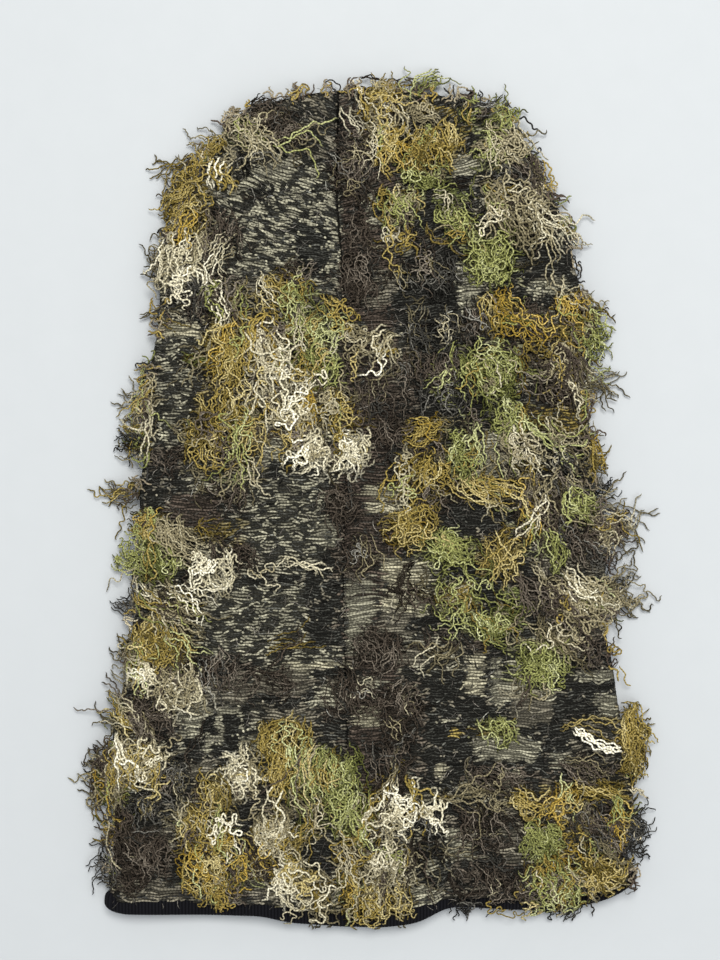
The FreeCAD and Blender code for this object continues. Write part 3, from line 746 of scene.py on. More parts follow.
# (x, y, half width, half height, colour, share): 1 is a solid patch, less is mottled, 0 is bare ground
PATCHES = (
    (-40, 128, 32, 32, TAN, 0.54), (-28, 168, 14, 16, TAUPE, 0.5), (-44, 150, 12, 6, TAN, 0.85),
    (-24, 112, 8, 12, TAN, 0.1), (-50, 98, 16, 4, TAUPE, 0.7), (-30, 88, 20, 5, TAUPE, 0.5),
    (-88, 50, 11, 26, TAN, 0.50), (-86, 78, 12, 3.5, PALE, 1), (-41, 26, 11, 11, TAN, 0.95),
    (-60, 20, 12, 10, TAUPE, 0.6), (-36, -6, 20, 18, TAN, 0.52), (-78, -4, 12, 8, BROWN, 0.9),
    (-36, 14, 8, 4, TAN, 0.05), (-42, -54, 30, 18, TAN, 0.52), (-17, -50, 9, 16, TAUPE, 0.12),
    (2, 60, 13, 132, BROWN, 0.8), (3, -84, 12, 90, BROWN, 0.8), (-17, -14, 5, 5, TAN, 0.9),
    (-2, -51, 6, 18, TAN, 1), (18, -38, 10, 13, PALE, 1), (10, 1, 8, 7, PALE, 1),
    (14, -54, 7, 5, TAUPE, 1), (-21, -73.5, 15, 2.6, PALE, 1), (-63, -82, 10, 8, TAUPE, 1),
    (-38, -81, 13, 5, TAUPE, 1), (-12, -76.5, 9, 2.5, TAUPE, 0), (-15, -87, 7, 5, TAN, 1),
    (2, -81, 4, 2.5, TAN, 1), (1.5, -96, 5.5, 5, PALE, 1), (-34, -97, 12, 5, TAUPE, 0.9),
    (-66, -102, 18, 11, TAN, 1), (-70, -100, 2.2, 5, TAN, 0), (-60, -103, 2.6, 8, TAN, 0),
    (-53, -98, 2.4, 8, TAN, 0), (-77, -110, 4, 4, TAN, 0), (-65, -112, 4, 3, TAN, 0),
    (-86, -121, 6, 6, TAN, 0), (-98, -139, 14, 8, TAUPE, 0.15), (-92, -150, 6, 5, TAUPE, 1),
    (-79, -140, 5, 7, TAN, 0.95), (-73, -121, 7, 4, TAUPE, 1), (-105, -160, 9, 14, BROWN, 0.9),
    (-94, -177, 17, 6, TAUPE, 0.85), (-46, -173, 11, 6, TAUPE, 0.9), (-17, -171, 7, 6, TAN, 0.9),
    (-55, -181, 30, 4, TAUPE, 0.6), (-20, -133, 10, 4, OLIVE, 0.3), (8, 132, 8, 9, TAN, 0.7),
    (8, 96, 9, 8, TAUPE, 0.9), (21, 97, 5, 5, TAN, 0.8), (46, 95, 7, 12, TAN, 1),
    (82, 97, 10, 4, TAN, 0.9), (84, 83, 10, 4, TAN, 0.9), (79, 133, 5, 17, TAUPE, 1),
    (38, 139, 7, 3.5, GREEN, 1), (42, 132, 4, 3, GREEN, 0.9), (42, 151, 9.5, 4, TAN, 1),
    (30, 176, 13, 2, OLIVE, 0.9), (86, 62, 12, 10, TAUPE, 0.6), (88, 36, 15, 7, OLIVE, 0.8),
    (57, 22, 7, 10, TAN, 1), (57, 7, 16, 3, OLIVE, 0.8), (40, 62, 6, 8, TAUPE, 0.6),
    (22, 20, 8, 10, TAUPE, 0.6), (104, -24, 6, 9, TAUPE, 0.9), (67, -40, 6, 2.2, GREEN, 1),
    (67, -50, 7, 4, GREEN, 0.85), (86, -26, 10, 8, TAUPE, 0.8), (103, -48, 7, 12, TAUPE, 1),
    (20, -70, 5, 4, TAUPE, 1), (49, -77, 4.5, 10, PALE, 1), (59, -76, 2.4, 7, TAN, 1),
    (64, -86, 8, 5, TAN, 1), (68.5, -75.5, 4, 4.5, TAN, 1), (75, -94, 9, 6, TAUPE, 1),
    (93.5, -66, 4, 5, TAN, 1), (103, -78, 10, 2.2, TAN, 1), (109, -92, 6, 5, TAN, 1),
    (80, -86, 5, 3, TAN, 0.9), (63, -111, 14, 5.5, TAN, 1), (66, -123, 5, 3.5, PALE, 1),
    (89, -115.5, 5, 3.5, TAN, 1), (34, -121, 2.4, 3.6, PALE, 1), (37.5, -97.5, 4.5, 1.6, TAN, 1),
    (41, -103.5, 3, 1.8, OLIVE, 1), (103, -108, 12, 10, TAUPE, 0.6), (44, -155, 7, 8, TAN, 0.9),
    (30, -164, 4, 3, TAN, 1), (28, -177, 6, 5, TAN, 0.9), (68, -150, 7, 14, TAUPE, 0.8),
    (60, -178, 26, 5, TAUPE, 0.6), (105, -150, 16, 16, BROWN, 0.6), (92, -172, 12, 8, TAUPE, 0.5),
)
# the knitting's colour under the tufts of a yarn
UNDER_TUFTS = {
    "brown": BROWN, "tan": TAN, "green": (0.26, 0.27, 0.11), "mustard": (0.31, 0.25, 0.10), "cream": PALE,
}
# (x, y, half width, half height) of ground that is nearly black and has no tufts but charcoal ones
BARE = (
    (-55, -146, 6.5, 13), (-21, -159, 11, 8), (50, -6, 18, 6), (28, 126, 10, 8), (28, 88, 16, 20),
    (20, 166, 9, 6),
)


def camouflage(x, y):
    """Colour and share of the second yarn at points of the knitting."""
    ragged_x = x + 1.7 * soft_noise(x, y, 9, 41) + 1.2 * soft_noise(x, y * 5, 9, 45)
    ragged_y = y + 1.2 * soft_noise(x, y, 7, 42)
    colour = np.tile(np.array(TAUPE), (len(x), 1))
    share = np.where(x < SEAM_X, 0.20, 0.08) + 0.06 * soft_noise(x, y, 26, 43)
    for name, tint in UNDER_TUFTS.items():
        for cx, cy, half_x, half_y, *_ in TUFTS[name]:
            reach = np.maximum(np.abs(ragged_x - cx) / (half_x + 3), np.abs(ragged_y - cy) / half_y)
            weight = 0.8 * (1 - smooth_step(reach, 0.75, 1.1))
            colour = colour * (1 - weight[:, None]) + np.array(tint) * weight[:, None]
            share = share * (1 - weight) + 0.62 * weight
    for cx, cy, half_x, half_y, tint, amount in PATCHES:
        reach = np.maximum(np.abs(ragged_x - cx) / half_x, np.abs(ragged_y - cy) / half_y)
        weight = 1 - smooth_step(reach, 0.86, 1.1)
        colour = colour * (1 - weight[:, None]) + np.array(tint) * weight[:, None]
        share = share * (1 - weight) + amount * weight
    for cx, cy, half_x, half_y in BARE:
        reach = np.hypot((ragged_x - cx) / half_x, (ragged_y - cy) / half_y)
        share = share * smooth_step(reach, 0.8, 1.1)
    return colour, np.clip(share, 0, 1)


# ------------------------------------------------------------------ the knitted sheets

CROWDING = 1.25


def crowded(t):
    """From 0 to 1 as t does, with steps that shrink towards 1."""
    return np.sin(CROWDING * t) / math.sin(CROWDING)


def sheet_points(low_x, high_x, rows, columns, crowd):
    """Points of a sheet between two edges, each a function of y. Columns crowd to the bag's edge or edges."""
    y = np.linspace(MOUTH_Y + 5.5, crown_y, rows)[:, None]
    t = np.linspace(0, 1, columns)[None, :]
    spread = {"left": 1 - crowded(1 - t), "right": crowded(t), "both": 0.5 + 0.5 * crowded(2 * t - 1)}[crowd]
    x = low_x(y) + (high_x(y) - low_x(y)) * spread
    y = np.broadcast_to(y, x.shape)
    return x, y, y + mouth_shift(x, y)


def knit_sheet(name, low_x, high_x, rows, columns, crowd, height, is_back):
    """One layer of knitting with its camouflage; UVs run across and up its rows."""
    x, level, y = sheet_points(low_x, high_x, rows, columns, crowd)
    distance = np.maximum(on_grid(DISTANCE, x, y), 0)
    z = height(x, y, distance)
    rows_at = row_level(x, level)
    points = np.column_stack([x.ravel(), y.ravel(), z.ravel()])
    faces = grid_faces(rows, columns, flip=not is_back)
    thing = make_object(name, points, faces, KNIT)
    set_uv(thing, np.column_stack([x.ravel() - seam_line(y).ravel(), rows_at.ravel()]), faces)
    colour, share = camouflage(x.ravel(), level.ravel())
    set_point_values(thing, "accent", colour)
    set_point_values(thing, "share", share)
    firm = thing.modifiers.new("thickness", "SOLIDIFY")
    firm.thickness = KNIT_THICKNESS * MM
    firm.offset = -1
    return thing


def left_edge(y):
    return edge_x(y, -1)


def right_edge(y):
    return edge_x(y, 1)


def cut_area(low_x, high_x):
    """Flat area of a sheet, in square metres."""
    y = np.linspace(MOUTH_Y, crown_y, 400)
    return float(np.sum(high_x(y) - low_x(y)) * (y[1] - y[0])) * MM * MM


def bend(thing):
    """Bakes a piece's placement into its mesh."""
    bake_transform(thing)


def seam_edge(y):
    """The centre seam, kept inside the outline at the top of the crown."""
    return np.clip(seam_line(y), left_edge(y) + 0.02, right_edge(y))


knit_left = knit_sheet("knit_left", left_edge, seam_edge, 300, 56, "left", back_height, True)
knit_right = knit_sheet("knit_right", seam_edge, right_edge, 300, 60, "right", back_height, True)
knit_front = knit_sheet("knit_front", left_edge, right_edge, 190, 90, "both", front_height, False)

for sheet, nodes, edges in (
    (
        knit_left,
        ("back_left_upper", "back_left_lower", "side_left_upper", "side_left_lower"),
        (left_edge, seam_edge),
    ),
    (
        knit_right,
        ("back_right_upper", "back_right_lower", "side_right_upper", "side_right_lower"),
        (seam_edge, right_edge),
    ),
    (knit_front, ("front_upper", "front_lower"), (left_edge, right_edge)),
):
    bend(sheet)
    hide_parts(*nodes)
    flat = (float(edges[1](MOUTH_Y) - edges[0](MOUTH_Y)) * MM, float(crown_y - MOUTH_Y) * MM)
    cut_area(*edges)

# ------------------------------------------------------------------ tubes of yarn


def tube_mesh(name, lines, radius, values, material, sides=4, ply=0.0, ends=12.0, open_side=1):
    """Tubes along many lines at once. lines is strands x points x 3; ply gives them two twisted plies.

    ends is how sharply the tubes taper. open_side is 1 where yarn faces up and -1 where it faces down; the
    other side of each tube gets painted shade, a number on its vertices that darkens it. values are numbers or
    colours for each strand, or for each of its points.
    """
    strands, count, _ = lines.shape
    ahead = np.gradient(lines, axis=1)
    ahead /= np.linalg.norm(ahead, axis=2, keepdims=True) + 1e-9
    side = np.cross(ahead, np.array([0.0, 0.0, 1.0]))
    side /= np.linalg.norm(side, axis=2, keepdims=True) + 1e-6
    up = np.cross(side, ahead)
    along = np.linspace(0, 1, count)
    taper = np.clip(np.minimum(along, 1 - along) * ends, 0.35, 1)
    step = np.linalg.norm(np.diff(lines, axis=1), axis=2)
    run = np.concatenate([np.zeros((strands, 1)), np.cumsum(step, axis=1)], axis=1)
    wide = radius[:, None] * taper[None, :]
    rings = []
    for k in range(sides):
        a = 2 * math.pi * (k + 0.5) / sides
        lobes = 1 + ply * np.cos(2 * (a - math.pi * run / PLY_PITCH))
        rings.append(lines + (side * math.cos(a) + up * math.sin(a)) * (wide * lobes)[:, :, None])
    points = np.stack(rings, axis=2).reshape(-1, 3)
    points[:, 2] = np.maximum(points[:, 2], TABLE_GAP)
    base = (np.arange(strands) * count * sides)[:, None]
    one = grid_faces(count, sides, closed=True)
    caps = np.array([[0, 1, 2, 3]]) if sides == 4 else np.array([[0, 1, 2, 3], [0, 3, 4, 5]])
    one = np.vstack([one, caps[:, ::-1], caps + (count - 1) * sides])
    faces = (base[:, :, None] + one[None, :, :]).reshape(-1, 4)
    thing = make_object(name, points, faces, material)
    u = np.broadcast_to(np.arange(sides) / sides, (strands, count, sides))
    v = np.broadcast_to(run[:, :, None], (strands, count, sides))
    set_uv(thing, np.stack([u, v], axis=3).reshape(-1, 2), faces)
    # painted shade: each tube is darker on the side turned away from its open side, by a number on its vertices
    # that the yarn materials multiply in
    turned = np.sin(2 * math.pi * (np.arange(sides) + 0.5) / sides) * open_side
    set_point_values(thing, "painted_underside_shade", np.tile(0.70 + 0.42 * turned, strands * count))
    for key, numbers in values.items():
        numbers = np.asarray(numbers)
        if numbers.ndim == 2 and numbers.shape[1] == count:
            spread = np.repeat(numbers.ravel(), sides)
        else:
            spread = np.repeat(numbers, count * sides, axis=0)
        set_point_values(thing, key, spread)
    return thing


def smooth_along(values, passes):
    """Evens a strands x points array along each strand."""
    for _ in range(passes):
        padded = np.concatenate([values[:, :1], values, values[:, -1:]], axis=1)
        values = (padded[:, :-2] + 2 * padded[:, 1:-1] + padded[:, 2:]) / 4
    return values


# ------------------------------------------------------------------ yarn along the rows

# yarn is cut into stretches of whole cells; a stretch on the back (1) has more points than on the front (-1)
CELL = 0.75
FLOAT_POINTS = {1: 5, -1: 4}
BRIGHT_RADIUS, DARK_RADIUS = 0.66, 0.48
BRIGHT_RISE, DARK_RISE = 0.34, 0.12
DARK_YARN = np.array([0.041, 0.041, 0.035])
# the gap at the centre seam: on each side at the mouth, and how much more at the crown
SEAM_GAP, CROWN_GAP = 0.1, 0.6


def in_fold(level):
    return (level > FOLD_END_Y) & (level < FOLD_START_Y)


def float_levels(sign):
    """The rows that carry yarn. The front has twice as many where it stretches round the fold."""
    levels = np.arange(MOUTH_Y + 7, crown_y + 34, ROW_PITCH)
    if sign > 0:
        return levels
    return np.union1d(levels, levels[in_fold(levels)] + ROW_PITCH / 2)


def float_cells(x, level, seed, maker):
    """Each cell's kind (0 none, 1 dark, 2 coloured) and colour, and whether a stretch ends between cells."""
    y = row_y(x, level)
    inside = (on_grid(DISTANCE, x, y + mouth_shift(x, y)) > 0.7) & (y < crown_y - 0.5)
    colour, share = camouflage(x.ravel(), y.ravel())
    share = share.reshape(x.shape)
    blotch = soft_noise(x, level * 1.35, 11, seed + 1)
    fine = soft_noise(x, level * 3.1 / ROW_PITCH, 6, seed + 2)
    mottle = 0.75 * blotch + 0.42 * fine + 0.1 * maker.normal(size=x.shape)
    rank = np.argsort(np.argsort(mottle.ravel())).reshape(x.shape) / mottle.size
    kinds = (rank > 1 - share).astype(int) + 1
    kinds[~inside] = 0
    breaks = maker.uniform(size=x.shape) < np.where(kinds == 2, 0.19 - 0.10 * share, 0.26)
    changed = np.diff(kinds + 10 * (x > seam_line(y)), axis=1) != 0
    return kinds, colour.reshape(*x.shape, 3), changed | breaks[:, 1:]


def float_runs(cuts):
    """Row, first cell and end cell of every stretch between cuts."""
    rows, starts, ends = [], [], []
    for row, cut in enumerate(cuts):
        edges = np.concatenate([[0], np.nonzero(cut)[0] + 1, [len(cut) + 1]])
        rows.append(np.full(len(edges) - 1, row))
        starts.append(edges[:-1])
        ends.append(edges[1:])
    return np.concatenate(rows), np.concatenate(starts), np.concatenate(ends)


def float_lines(height, sign, seed, both):
    """Every stretch of yarn on a sheet: lines, radius, colour and tone. both adds the dark stretches."""
    maker = np.random.default_rng(seed)
    levels = float_levels(sign)
    columns = np.arange(CENTRE_X - HEM_HALF - 4, CENTRE_X + HEM_HALF + 4, CELL)
    kinds, colour, cuts = float_cells(*np.meshgrid(columns, levels), seed, maker)
    rows, starts, ends = float_runs(cuts)
    keep = kinds[rows, starts] > (0 if both else 1)
    rows, starts, ends = rows[keep], starts[keep], ends[keep]
    bright = kinds[rows, starts] == 2
    count = len(rows)
    t = np.linspace(0, 1, FLOAT_POINTS[sign])[None, :]
    low = columns[starts] - 0.35 * CELL - maker.uniform(0, 0.6, count)
    high = columns[ends - 1] + 0.35 * CELL + maker.uniform(0, 0.6, count)
    middle = (low + high) / 2
    px = low[:, None] + (high - low)[:, None] * t
    # no stretch crosses the centre seam
    seam = seam_line(row_y(middle, levels[rows]))[:, None]
    gap = SEAM_GAP + CROWN_GAP * smooth_step(levels[rows], 90, 150)[:, None]
    px = np.where(middle[:, None] < seam, np.minimum(px, seam - gap), np.maximum(px, seam + gap))
    slant = maker.normal(0, 0.34, (count, 1)) * (t - 0.5) * 2
    bow = maker.normal(0, 0.22, (count, 1)) * np.sin(math.pi * t)
    level = levels[rows][:, None] + maker.normal(0, 0.14, (count, 1)) + slant + bow
    py = row_y(px, level)
    py = py + mouth_shift(px, py)
    pz = height(px, py, np.maximum(on_grid(DISTANCE, px, py), 0))
    rise = np.where(bright, BRIGHT_RISE, DARK_RISE)[:, None] + maker.uniform(0, 0.22, (count, 1))
    pz = pz + sign * (rise + 0.3 * np.sin(math.pi * t) - 0.32)
    radius = np.where(bright, BRIGHT_RADIUS, DARK_RADIUS) * maker.uniform(0.75, 1.1, count)
    if sign < 0:
        radius = radius * np.where(in_fold(level[:, 0]), 0.5, 1)
    dark = DARK_YARN * maker.lognormal(0.05, 0.6, (count, 1))
    light = colour[rows, (starts + ends) // 2] * maker.uniform(0.35, 1.25, (count, 1))
    tone = np.clip(maker.normal(0.6, 0.16, count), 0.2, 1)
    return np.stack([px, py, pz], axis=2), radius, np.where(bright[:, None], light, dark), tone


def lay_floats(name, height, sign, seed, pieces, both=True):
    """Makes the pieces of yarn along the rows of one sheet, from its top down."""
    lines, radius, tint, tone = float_lines(height, sign, seed, both)
    order = np.argsort(-lines[:, 0, 1])
    for number, chosen in enumerate(np.array_split(order, pieces)):
        values = {"accent": tint[chosen], "tone": tone[chosen]}
        piece = tube_mesh(
            f"{name}_{number + 1}", lines[chosen], radius[chosen], values, FLOATS, ends=3.2, open_side=sign
        )
        bend(piece)


lay_floats("back_rows", back_height, 1, 510, 6)
lay_floats("front_rows", front_height, -1, 520, 3, both=False)

# ------------------------------------------------------------------ ribbed hem

HEM_BAND, HEM_RADIUS = 6.6, 3.4
HEM_COUNT = 1040
# (height above the mouth, distance out from the wall) from the outer edge round to the inner one
HEM_PROFILE = (
    (HEM_BAND + 2.5, -1.6), (HEM_BAND + 1, -0.6), (HEM_BAND, 0.1), (HEM_BAND - 1.5, 0.5),
    (3.2, 0.7), (1.6, 0.75), (0.6, 0.6), (0.1, 0.0), (0.0, -0.6), (0.3, -1.2),
    (1.4, -1.7), (4, -1.9), (8, -1.9), (8.4, -1.5), (8, -1.2),
)


def flat_ring(half, radius, count):
    """Places round a band with straight sides and half-round ends, and which way it faces there."""
    flat, turn = 2 * (half - radius), math.pi * radius
    along = np.arange(count) / count * (2 * flat + 2 * math.pi * radius)
    rows = []
    for s in along:
        if s < flat:
            rows.append((s - flat / 2, radius, 0, 1))
        elif s < flat + turn:
            a = math.pi / 2 - (s - flat) / radius
            rows.append((flat / 2 + radius * math.cos(a), radius * math.sin(a), math.cos(a), math.sin(a)))
        elif s < 2 * flat + turn:
            rows.append((flat / 2 - (s - flat - turn), -radius, 0, -1))
        else:
            a = -math.pi / 2 - (s - 2 * flat - turn) / radius
            rows.append((-flat / 2 + radius * math.cos(a), radius * math.sin(a), math.cos(a), math.sin(a)))
    return along, *np.array(rows).T


def hem_ring():
    """The turned rib round the mouth: a flattened ring whose wall runs up outside and inside."""
    half = HEM_HALF + 0.4
    along, x, z, nx, nz = flat_ring(half, HEM_RADIUS, HEM_COUNT)
    x = x + CENTRE_X
    middle = float(middle_height(MOUTH_Y)) - 0.1
    rib = 0.16 * np.cos(2 * math.pi * along / RIB_PITCH)
    lift = HEM_RIPPLE * ripple(x) * smooth_step(half - np.abs(x - CENTRE_X), 2, 12) * (nz > -0.2)
    rings, uv = [], []
    run, before = 0.0, HEM_PROFILE[0]
    for up, out in HEM_PROFILE:
        run += math.hypot(up - before[0], out - before[1])
        before = (up, out)
        level = np.full(HEM_COUNT, MOUTH_Y + up)
        taper = 1 + 0.25 * smooth_step(up, 0, 9)
        px = x + nx * (out + rib)
        pz = middle + z * taper + nz * (out + rib) + lift * 0.75
        rings.append(np.column_stack([px, level + mouth_shift(px, level), np.maximum(pz, 2.2)]))
        uv.append(np.column_stack([along, np.full(HEM_COUNT, run)]))
    faces = grid_faces(len(HEM_PROFILE), HEM_COUNT, closed=True)
    thing = make_object("hem_rib_band", np.vstack(rings), faces, RIB)
    set_uv(thing, np.vstack(uv), faces)
    return thing


hem = hem_ring()
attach(hem, NECK)
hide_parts("hem_band")

# ------------------------------------------------------------------ loose strands of yarn


def per_lock(lock, low, high):
    """A random number for each lock, the same for all its strands."""
    return rng.uniform(low, high, (lock.max() + 1, 1))[lock]


def lock_waves(lock, run, short, long, strength, own):
    """Waves shared by a lock, with a little of each strand's own."""
    count = len(lock)
    pitch = per_lock(lock, short, long) * rng.uniform(1 - 0.12 * own, 1 + 0.12 * own, (count, 1))
    phase = per_lock(lock, 0, 2 * math.pi) + rng.normal(0, 0.5 * own, (count, 1))
    return strength * per_lock(lock, 0.35, 1.35) * np.sin(2 * math.pi * run / pitch + phase)


def strand_headings(t, run, flow, curl, slack, lock):
    """Which way each strand heads at each of its points: down the flow, or sagging along a knitted row."""
    count = len(lock)
    row_way = np.where(per_lock(lock, 0, 1) < 0.5, 0.0, math.pi)
    start_turn = (row_way - flow + math.pi) % (2 * math.pi) - math.pi
    hanging = flow + per_lock(lock, -0.4, 0.4) + start_turn * 0.85 * np.exp(-run / per_lock(lock, 2, 6))
    sag = per_lock(lock, 0.5, 1.7) * (t - 0.5) * np.where(row_way > 1, -1, 1)
    heading = np.where(slack, row_way + sag + per_lock(lock, -0.15, 0.15), hanging)
    heading = heading + lock_waves(lock, run, 24, 44, 0.6 * curl, 1.0)
    heading = heading + lock_waves(lock, run, 9, 17, 0.9 * curl, 1.5)
    heading = heading + lock_waves(lock, run, 3.9, 7.5, 0.52, 1.3)
    return heading + rng.normal(0, 0.026, (count, 1)) * curl * run + 0.3 * rng.normal(0, 1, (count, 1)) * t


def pull_in(x, y, area, limit):
    """Draws strands that reach past their tuft back towards it."""
    centre_x, centre_y, half_x, half_y, kept = area
    reach = np.hypot((x - centre_x) / half_x, (y - centre_y) / half_y)
    pull = np.where(reach > limit, (limit + (reach - limit) * kept) / np.maximum(reach, limit), 1)
    return centre_x + (x - centre_x) * pull, centre_y + (y - centre_y) * pull


def strand_rise(t, run, lift, lock):
    """How far each strand rises over what it lies on: locks lie at different depths, and arch."""
    count = len(lock)
    layer = np.clip(per_lock(lock, 0, 1) + rng.normal(0, 0.22, (count, 1)), 0, 1)
    arch = np.sin(math.pi * t ** per_lock(lock, 0.5, 1.1))
    bumps = 0.4 * np.sin(2 * math.pi * run / per_lock(lock, 8, 15) + rng.uniform(0, 6, (count, 1)))
    rise = lift * (0.12 + 0.88 * layer) * (0.25 + 0.75 * arch) + bumps
    return np.maximum(rise, 0) * smooth_step(t, 0, 0.08)


def strand_lines(points, spots, flow, length, curl, lift, slack, lock, area=None):
    """Curly strands in locks: strands with the same lock number run together and part at their ends.

    spots, flow in radians, curl, lift and slack have one row per lock; a slack lock sags along a knitted row.
    area is a tuft's centre, half sizes and the share of its strands' overhang that is kept. Gives the lines,
    and a painted shade for each point: yarn that lies low is painted darker, for the shade of the strands over
    it.
    """
    count = len(lock)
    t = np.linspace(0, 1, points)[None, :]
    run = t * length[:, None]
    flow, curl, lift, slack = (part[lock][:, None] for part in (flow, curl, lift, slack))
    heading = strand_headings(t, run, flow, curl, slack, lock)
    step = length[:, None] / (points - 1)
    x = np.cumsum(np.cos(heading) * step, axis=1)
    y = np.cumsum(np.sin(heading) * step, axis=1)
    mean_x = np.bincount(lock, x.mean(1)) / np.bincount(lock)
    mean_y = np.bincount(lock, y.mean(1)) / np.bincount(lock)
    x = x + (spots[:, 0] - mean_x)[lock][:, None] + rng.normal(0, 1.7, (count, 1))
    y = y + (spots[:, 1] - mean_y)[lock][:, None] + rng.normal(0, 1.6, (count, 1))
    if area is not None:
        x, y = pull_in(x, y, area, per_lock(lock, 0.8, 1.4))
    rise = strand_rise(t, run, lift, lock)
    z = smooth_along(ground_height(x, y), 5) + YARN_RADIUS * 0.8 + rise
    # the crimp left by the knitting
    crimp = rng.uniform(0.05, 0.18, (count, 1))
    kink_at = 2 * math.pi * run / rng.uniform(2.4, 3.6, (count, 1)) + rng.uniform(0, 6, (count, 1))
    x = x - np.sin(heading) * crimp * np.sin(kink_at)
    y = y + np.cos(heading) * crimp * np.sin(kink_at)
    z = np.maximum(z + crimp * np.cos(kink_at), YARN_RADIUS)
    # painted shade: yarn that lies low is darkened, standing in for the shade of the strands over it
    return np.stack([x, y, z], axis=2), 0.30 + 0.78 * smooth_step(rise / 6, 0.0, 0.5)


# ------------------------------------------------------------------ the tufts


def shade_of(name, tone):
    """The colour of a yarn at a tone from 0, dark, to 1, light."""
    return [np.interp(tone, (0, 0.5, 1), channel) for channel in zip(*YARNS[name])]


def lock_spots(colour, x, y, half_x, half_y, way, locks):
    """Where the middles of a tuft's locks lie: inside the tuft and off the bare ground."""
    room = 0.24 * HABITS[colour].length
    extent_x = max(half_x - room * abs(math.cos(way)), 0.45 * half_x)
    extent_y = max(half_y - room * abs(math.sin(way)), 0.45 * half_y)
    angle, reach = rng.uniform(0, 2 * math.pi, locks), np.sqrt(rng.uniform(0, 1, locks))
    spots = np.column_stack([x + extent_x * reach * np.cos(angle), y + extent_y * reach * np.sin(angle)])
    keep_off = () if colour == "charcoal" else BARE
    for bare_x, bare_y, bare_w, bare_h in keep_off:
        away = spots - (bare_x, bare_y)
        reach = np.hypot(away[:, 0] / bare_w, away[:, 1] / bare_h)
        spots = (bare_x, bare_y) + away * np.maximum(1.4 / np.maximum(reach, 0.2), 1)[:, None]
    return spots


def tones_and_tints(colour, lock, locks):
    """Each strand's tone and colour. Now and then a whole lock is of another yarn."""
    tones = np.clip(rng.normal(0.5, 0.19, locks)[lock] + rng.normal(0, 0.12, len(lock)), 0.04, 0.98)
    others, often = STRAYS[colour]
    often = often * rng.choice((0.2, 0.8, 1.6))
    names = np.where(rng.uniform(0, 1, locks) < often, rng.choice(others, locks), colour)[lock]
    return tones, np.array([shade_of(name, tone) for name, tone in zip(names, tones)])


def tuft_strands(colour):
    """All the strands of one colour: lines, painted depth shade, radius, tone and colour."""
    habit = HABITS[colour]
    parts = []
    for x, y, half_x, half_y, flow, count, curl, lift in TUFTS[colour] + FILLERS[colour]:
        count = max(int(count * habit.strands), 4)
        lock = np.sort(rng.integers(0, max(count // 3, 2), count))
        lock = np.unique(lock, return_inverse=True)[1]
        locks = lock.max() + 1
        length = np.clip(habit.length * rng.lognormal(0, 0.25, locks), 10, 48)[lock]
        length = length * rng.uniform(0.7, 1.1, count)
        way = math.radians(flow)
        spots = lock_spots(colour, x, y, half_x, half_y, way, locks)
        kind = rng.uniform(0, 1, locks)
        slack = (kind < habit.sagging) & (abs(math.sin(way)) > 0.5)
        loopy = kind > 0.76
        curls = curl * habit.curl * np.where(slack, 0.45, np.where(loopy, 1.5, 0.72))
        lifts = lift * np.where(slack, 0.35, np.where(loopy, 1.15, 0.9))
        length = np.where(slack[lock], length * 0.72, length)
        area = (x, y, half_x, half_y, habit.overhang)
        ways = np.full(locks, way)
        lines, depth = strand_lines(habit.points, spots, ways, length, curls, lifts, slack, lock, area)
        thick = habit.thick * (1.12 if lift > 6 else 1)
        radius = YARN_RADIUS * thick * rng.uniform(0.85, 1.12, count)
        parts.append((lines, depth, radius, *tones_and_tints(colour, lock, locks)))
    return [np.concatenate(part) for part in zip(*parts)]


for colour in TUFTS:
    lines, depth, radius, tone, tint = tuft_strands(colour)
    sides = HABITS[colour].sides
    pieces = math.ceil(len(lines) * 2 * sides * HABITS[colour].points / PIECE_FACES)
    order = np.argsort(-lines[:, 0, 1])
    for number, chosen in enumerate(np.array_split(order, pieces)):
        name = f"{colour}_yarn_{number + 1}"
        # depth carries painted shade: yarn that lies low is darker
        values = {"tone": tone[chosen], "depth": depth[chosen], "accent": tint[chosen]}
        ply = 0.16 if sides == 6 else 0.0
        piece = tube_mesh(
            name, lines[chosen], radius[chosen], values, YARN[colour], sides=sides, ply=ply, ends=30
        )
        bend(piece)
        if number == 0:
            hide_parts(f"{colour}_tufts_upper", f"{colour}_tufts_lower")

# ------------------------------------------------------------------ yarn along the edges and underneath

EDGE_LOCKS, UNDER_LOCKS = 200, 100
EDGE_POINTS = 26
# strands above this height point away from the middle of the crown
CROWN_MIDDLE_Y = 118
# colours of single locks of mixed yarn
MIXED = np.array([
    (0.62, 0.55, 0.38), (0.34, 0.25, 0.07), (0.42, 0.32, 0.10), (0.30, 0.32, 0.11), (0.38, 0.32, 0.21),
    (0.30, 0.25, 0.17), (0.10, 0.075, 0.058), (0.045, 0.043, 0.04),
])


def mixed_values(lock, locks, count):
    """Colour and tone of strands of mixed yarn, one colour to a lock."""
    tint = MIXED[rng.integers(0, len(MIXED), locks)][lock] * rng.uniform(0.75, 1.25, (count, 1))
    return {"accent": tint, "tone": np.clip(rng.normal(0.6, 0.15, count), 0.25, 1)}


